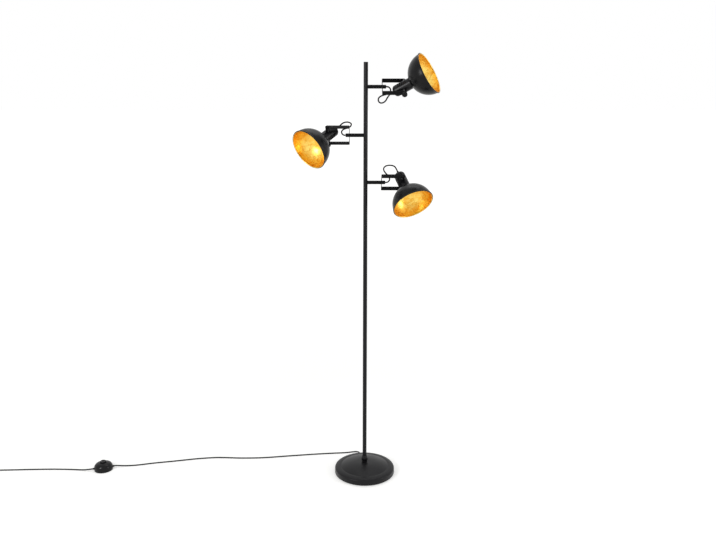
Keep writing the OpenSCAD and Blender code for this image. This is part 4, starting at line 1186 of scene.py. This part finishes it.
room = {
    "floorTone": "#f1f1ef",
    "nearGlow": 0.36,  # of the floor as the camera sees it, so that it reads as white beside the lamp
    "farGlow": 0.62,  # beyond the reach of the lamps
    "glowReach": (1.0, 4.5),  # metres from the pole between which the one turns into the other
    "floorHalf": 30.0,
    "ambient": 0.55,  # of the plain white surround, on the object
}
studioLamps = {
    "keyLamp": {"place": (-1.96, -1.96, 1.76), "size": (0.8, 1.0), "power": 28.0},
    "fillLamp": {"place": (2.47, -0.80, 1.25), "size": (0.7, 1.4), "power": 16.0},
    "topLamp": {"place": (0.2, 1.0, 3.2), "size": (1.6, 1.0), "power": 8.0},
}
lampTarget = (0.0, 0.0, 1.1)


# How far a ray counts as seeing the background: camera, glossy and transmission rays see it at full
def seenRays(tree):
    rays = addNode(tree, "ShaderNodeLightPath")
    seen = addNode(tree, "ShaderNodeMath",
                   {0: rays.outputs["Is Camera Ray"], 1: rays.outputs["Is Glossy Ray"]}, operation="MAXIMUM")
    return addNode(tree, "ShaderNodeMath", {0: seen.outputs[0], 1: rays.outputs["Is Transmission Ray"]},
                   operation="MAXIMUM").outputs[0]


def makeWorld(r):
    world = bpy.data.worlds.new("studio")
    world.use_nodes = True
    tree = world.node_tree
    tree.nodes.clear()
    strength = addNode(tree, "ShaderNodeMath", {0: seenRays(tree), 1: 1 - r["ambient"], 2: r["ambient"]},
                       operation="MULTIPLY_ADD")
    sky = addNode(tree, "ShaderNodeBackground", {"Color": linear("#ffffff"), "Strength": strength.outputs[0]})
    addNode(tree, "ShaderNodeOutputWorld", {"Surface": sky.outputs[0]})
    bpy.context.scene.world = world


def makeFloor(r):
    finish, tree = newFinish("paleFloor")
    matte = addNode(tree, "ShaderNodeBsdfDiffuse", {"Color": linear(r["floorTone"])})
    away = addNode(tree, "ShaderNodeVectorMath", {0: objectPlace(tree)}, operation="LENGTH")
    amount = addNode(tree, "ShaderNodeMapRange",
                     {"Value": away.outputs["Value"], "From Min": r["glowReach"][0],
                      "From Max": r["glowReach"][1], "To Min": r["nearGlow"], "To Max": r["farGlow"]})
    glow = addNode(tree, "ShaderNodeMath", {0: seenRays(tree), 1: amount.outputs["Result"]},
                   operation="MULTIPLY")
    light = addNode(tree, "ShaderNodeEmission", {"Strength": glow.outputs[0]})
    both = addNode(tree, "ShaderNodeAddShader", {0: matte.outputs[0], 1: light.outputs[0]})
    addNode(tree, "ShaderNodeOutputMaterial", {"Surface": both.outputs[0]})
    mesh = bpy.data.meshes.new("floor")
    h = r["floorHalf"]
    mesh.from_pydata([(-h, -h, 0), (h, -h, 0), (h, h, 0), (-h, h, 0)], [], [(0, 1, 2, 3)])
    mesh.materials.append(finish)
    floor = bpy.data.objects.new("floor", mesh)
    bpy.context.scene.collection.objects.link(floor)


def makeLamp(name, lamp):
    data = bpy.data.lights.new(name, "AREA")
    data.shape = "RECTANGLE"
    data.size, data.size_y = lamp["size"]
    data.energy = lamp["power"]
    made = bpy.data.objects.new(name, data)
    bpy.context.scene.collection.objects.link(made)
    aim = (Vector(lampTarget) - Vector(lamp["place"])).to_track_quat("-Z", "Y")
    made.matrix_world = Matrix.Translation(lamp["place"]) @ aim.to_matrix().to_4x4()


makeWorld(room)
makeFloor(room)
for name, lamp in studioLamps.items():
    makeLamp(name, lamp)
bpy.context.scene.view_settings.view_transform = "Standard"
print("room: floor, surround and", len(studioLamps), "lamps")
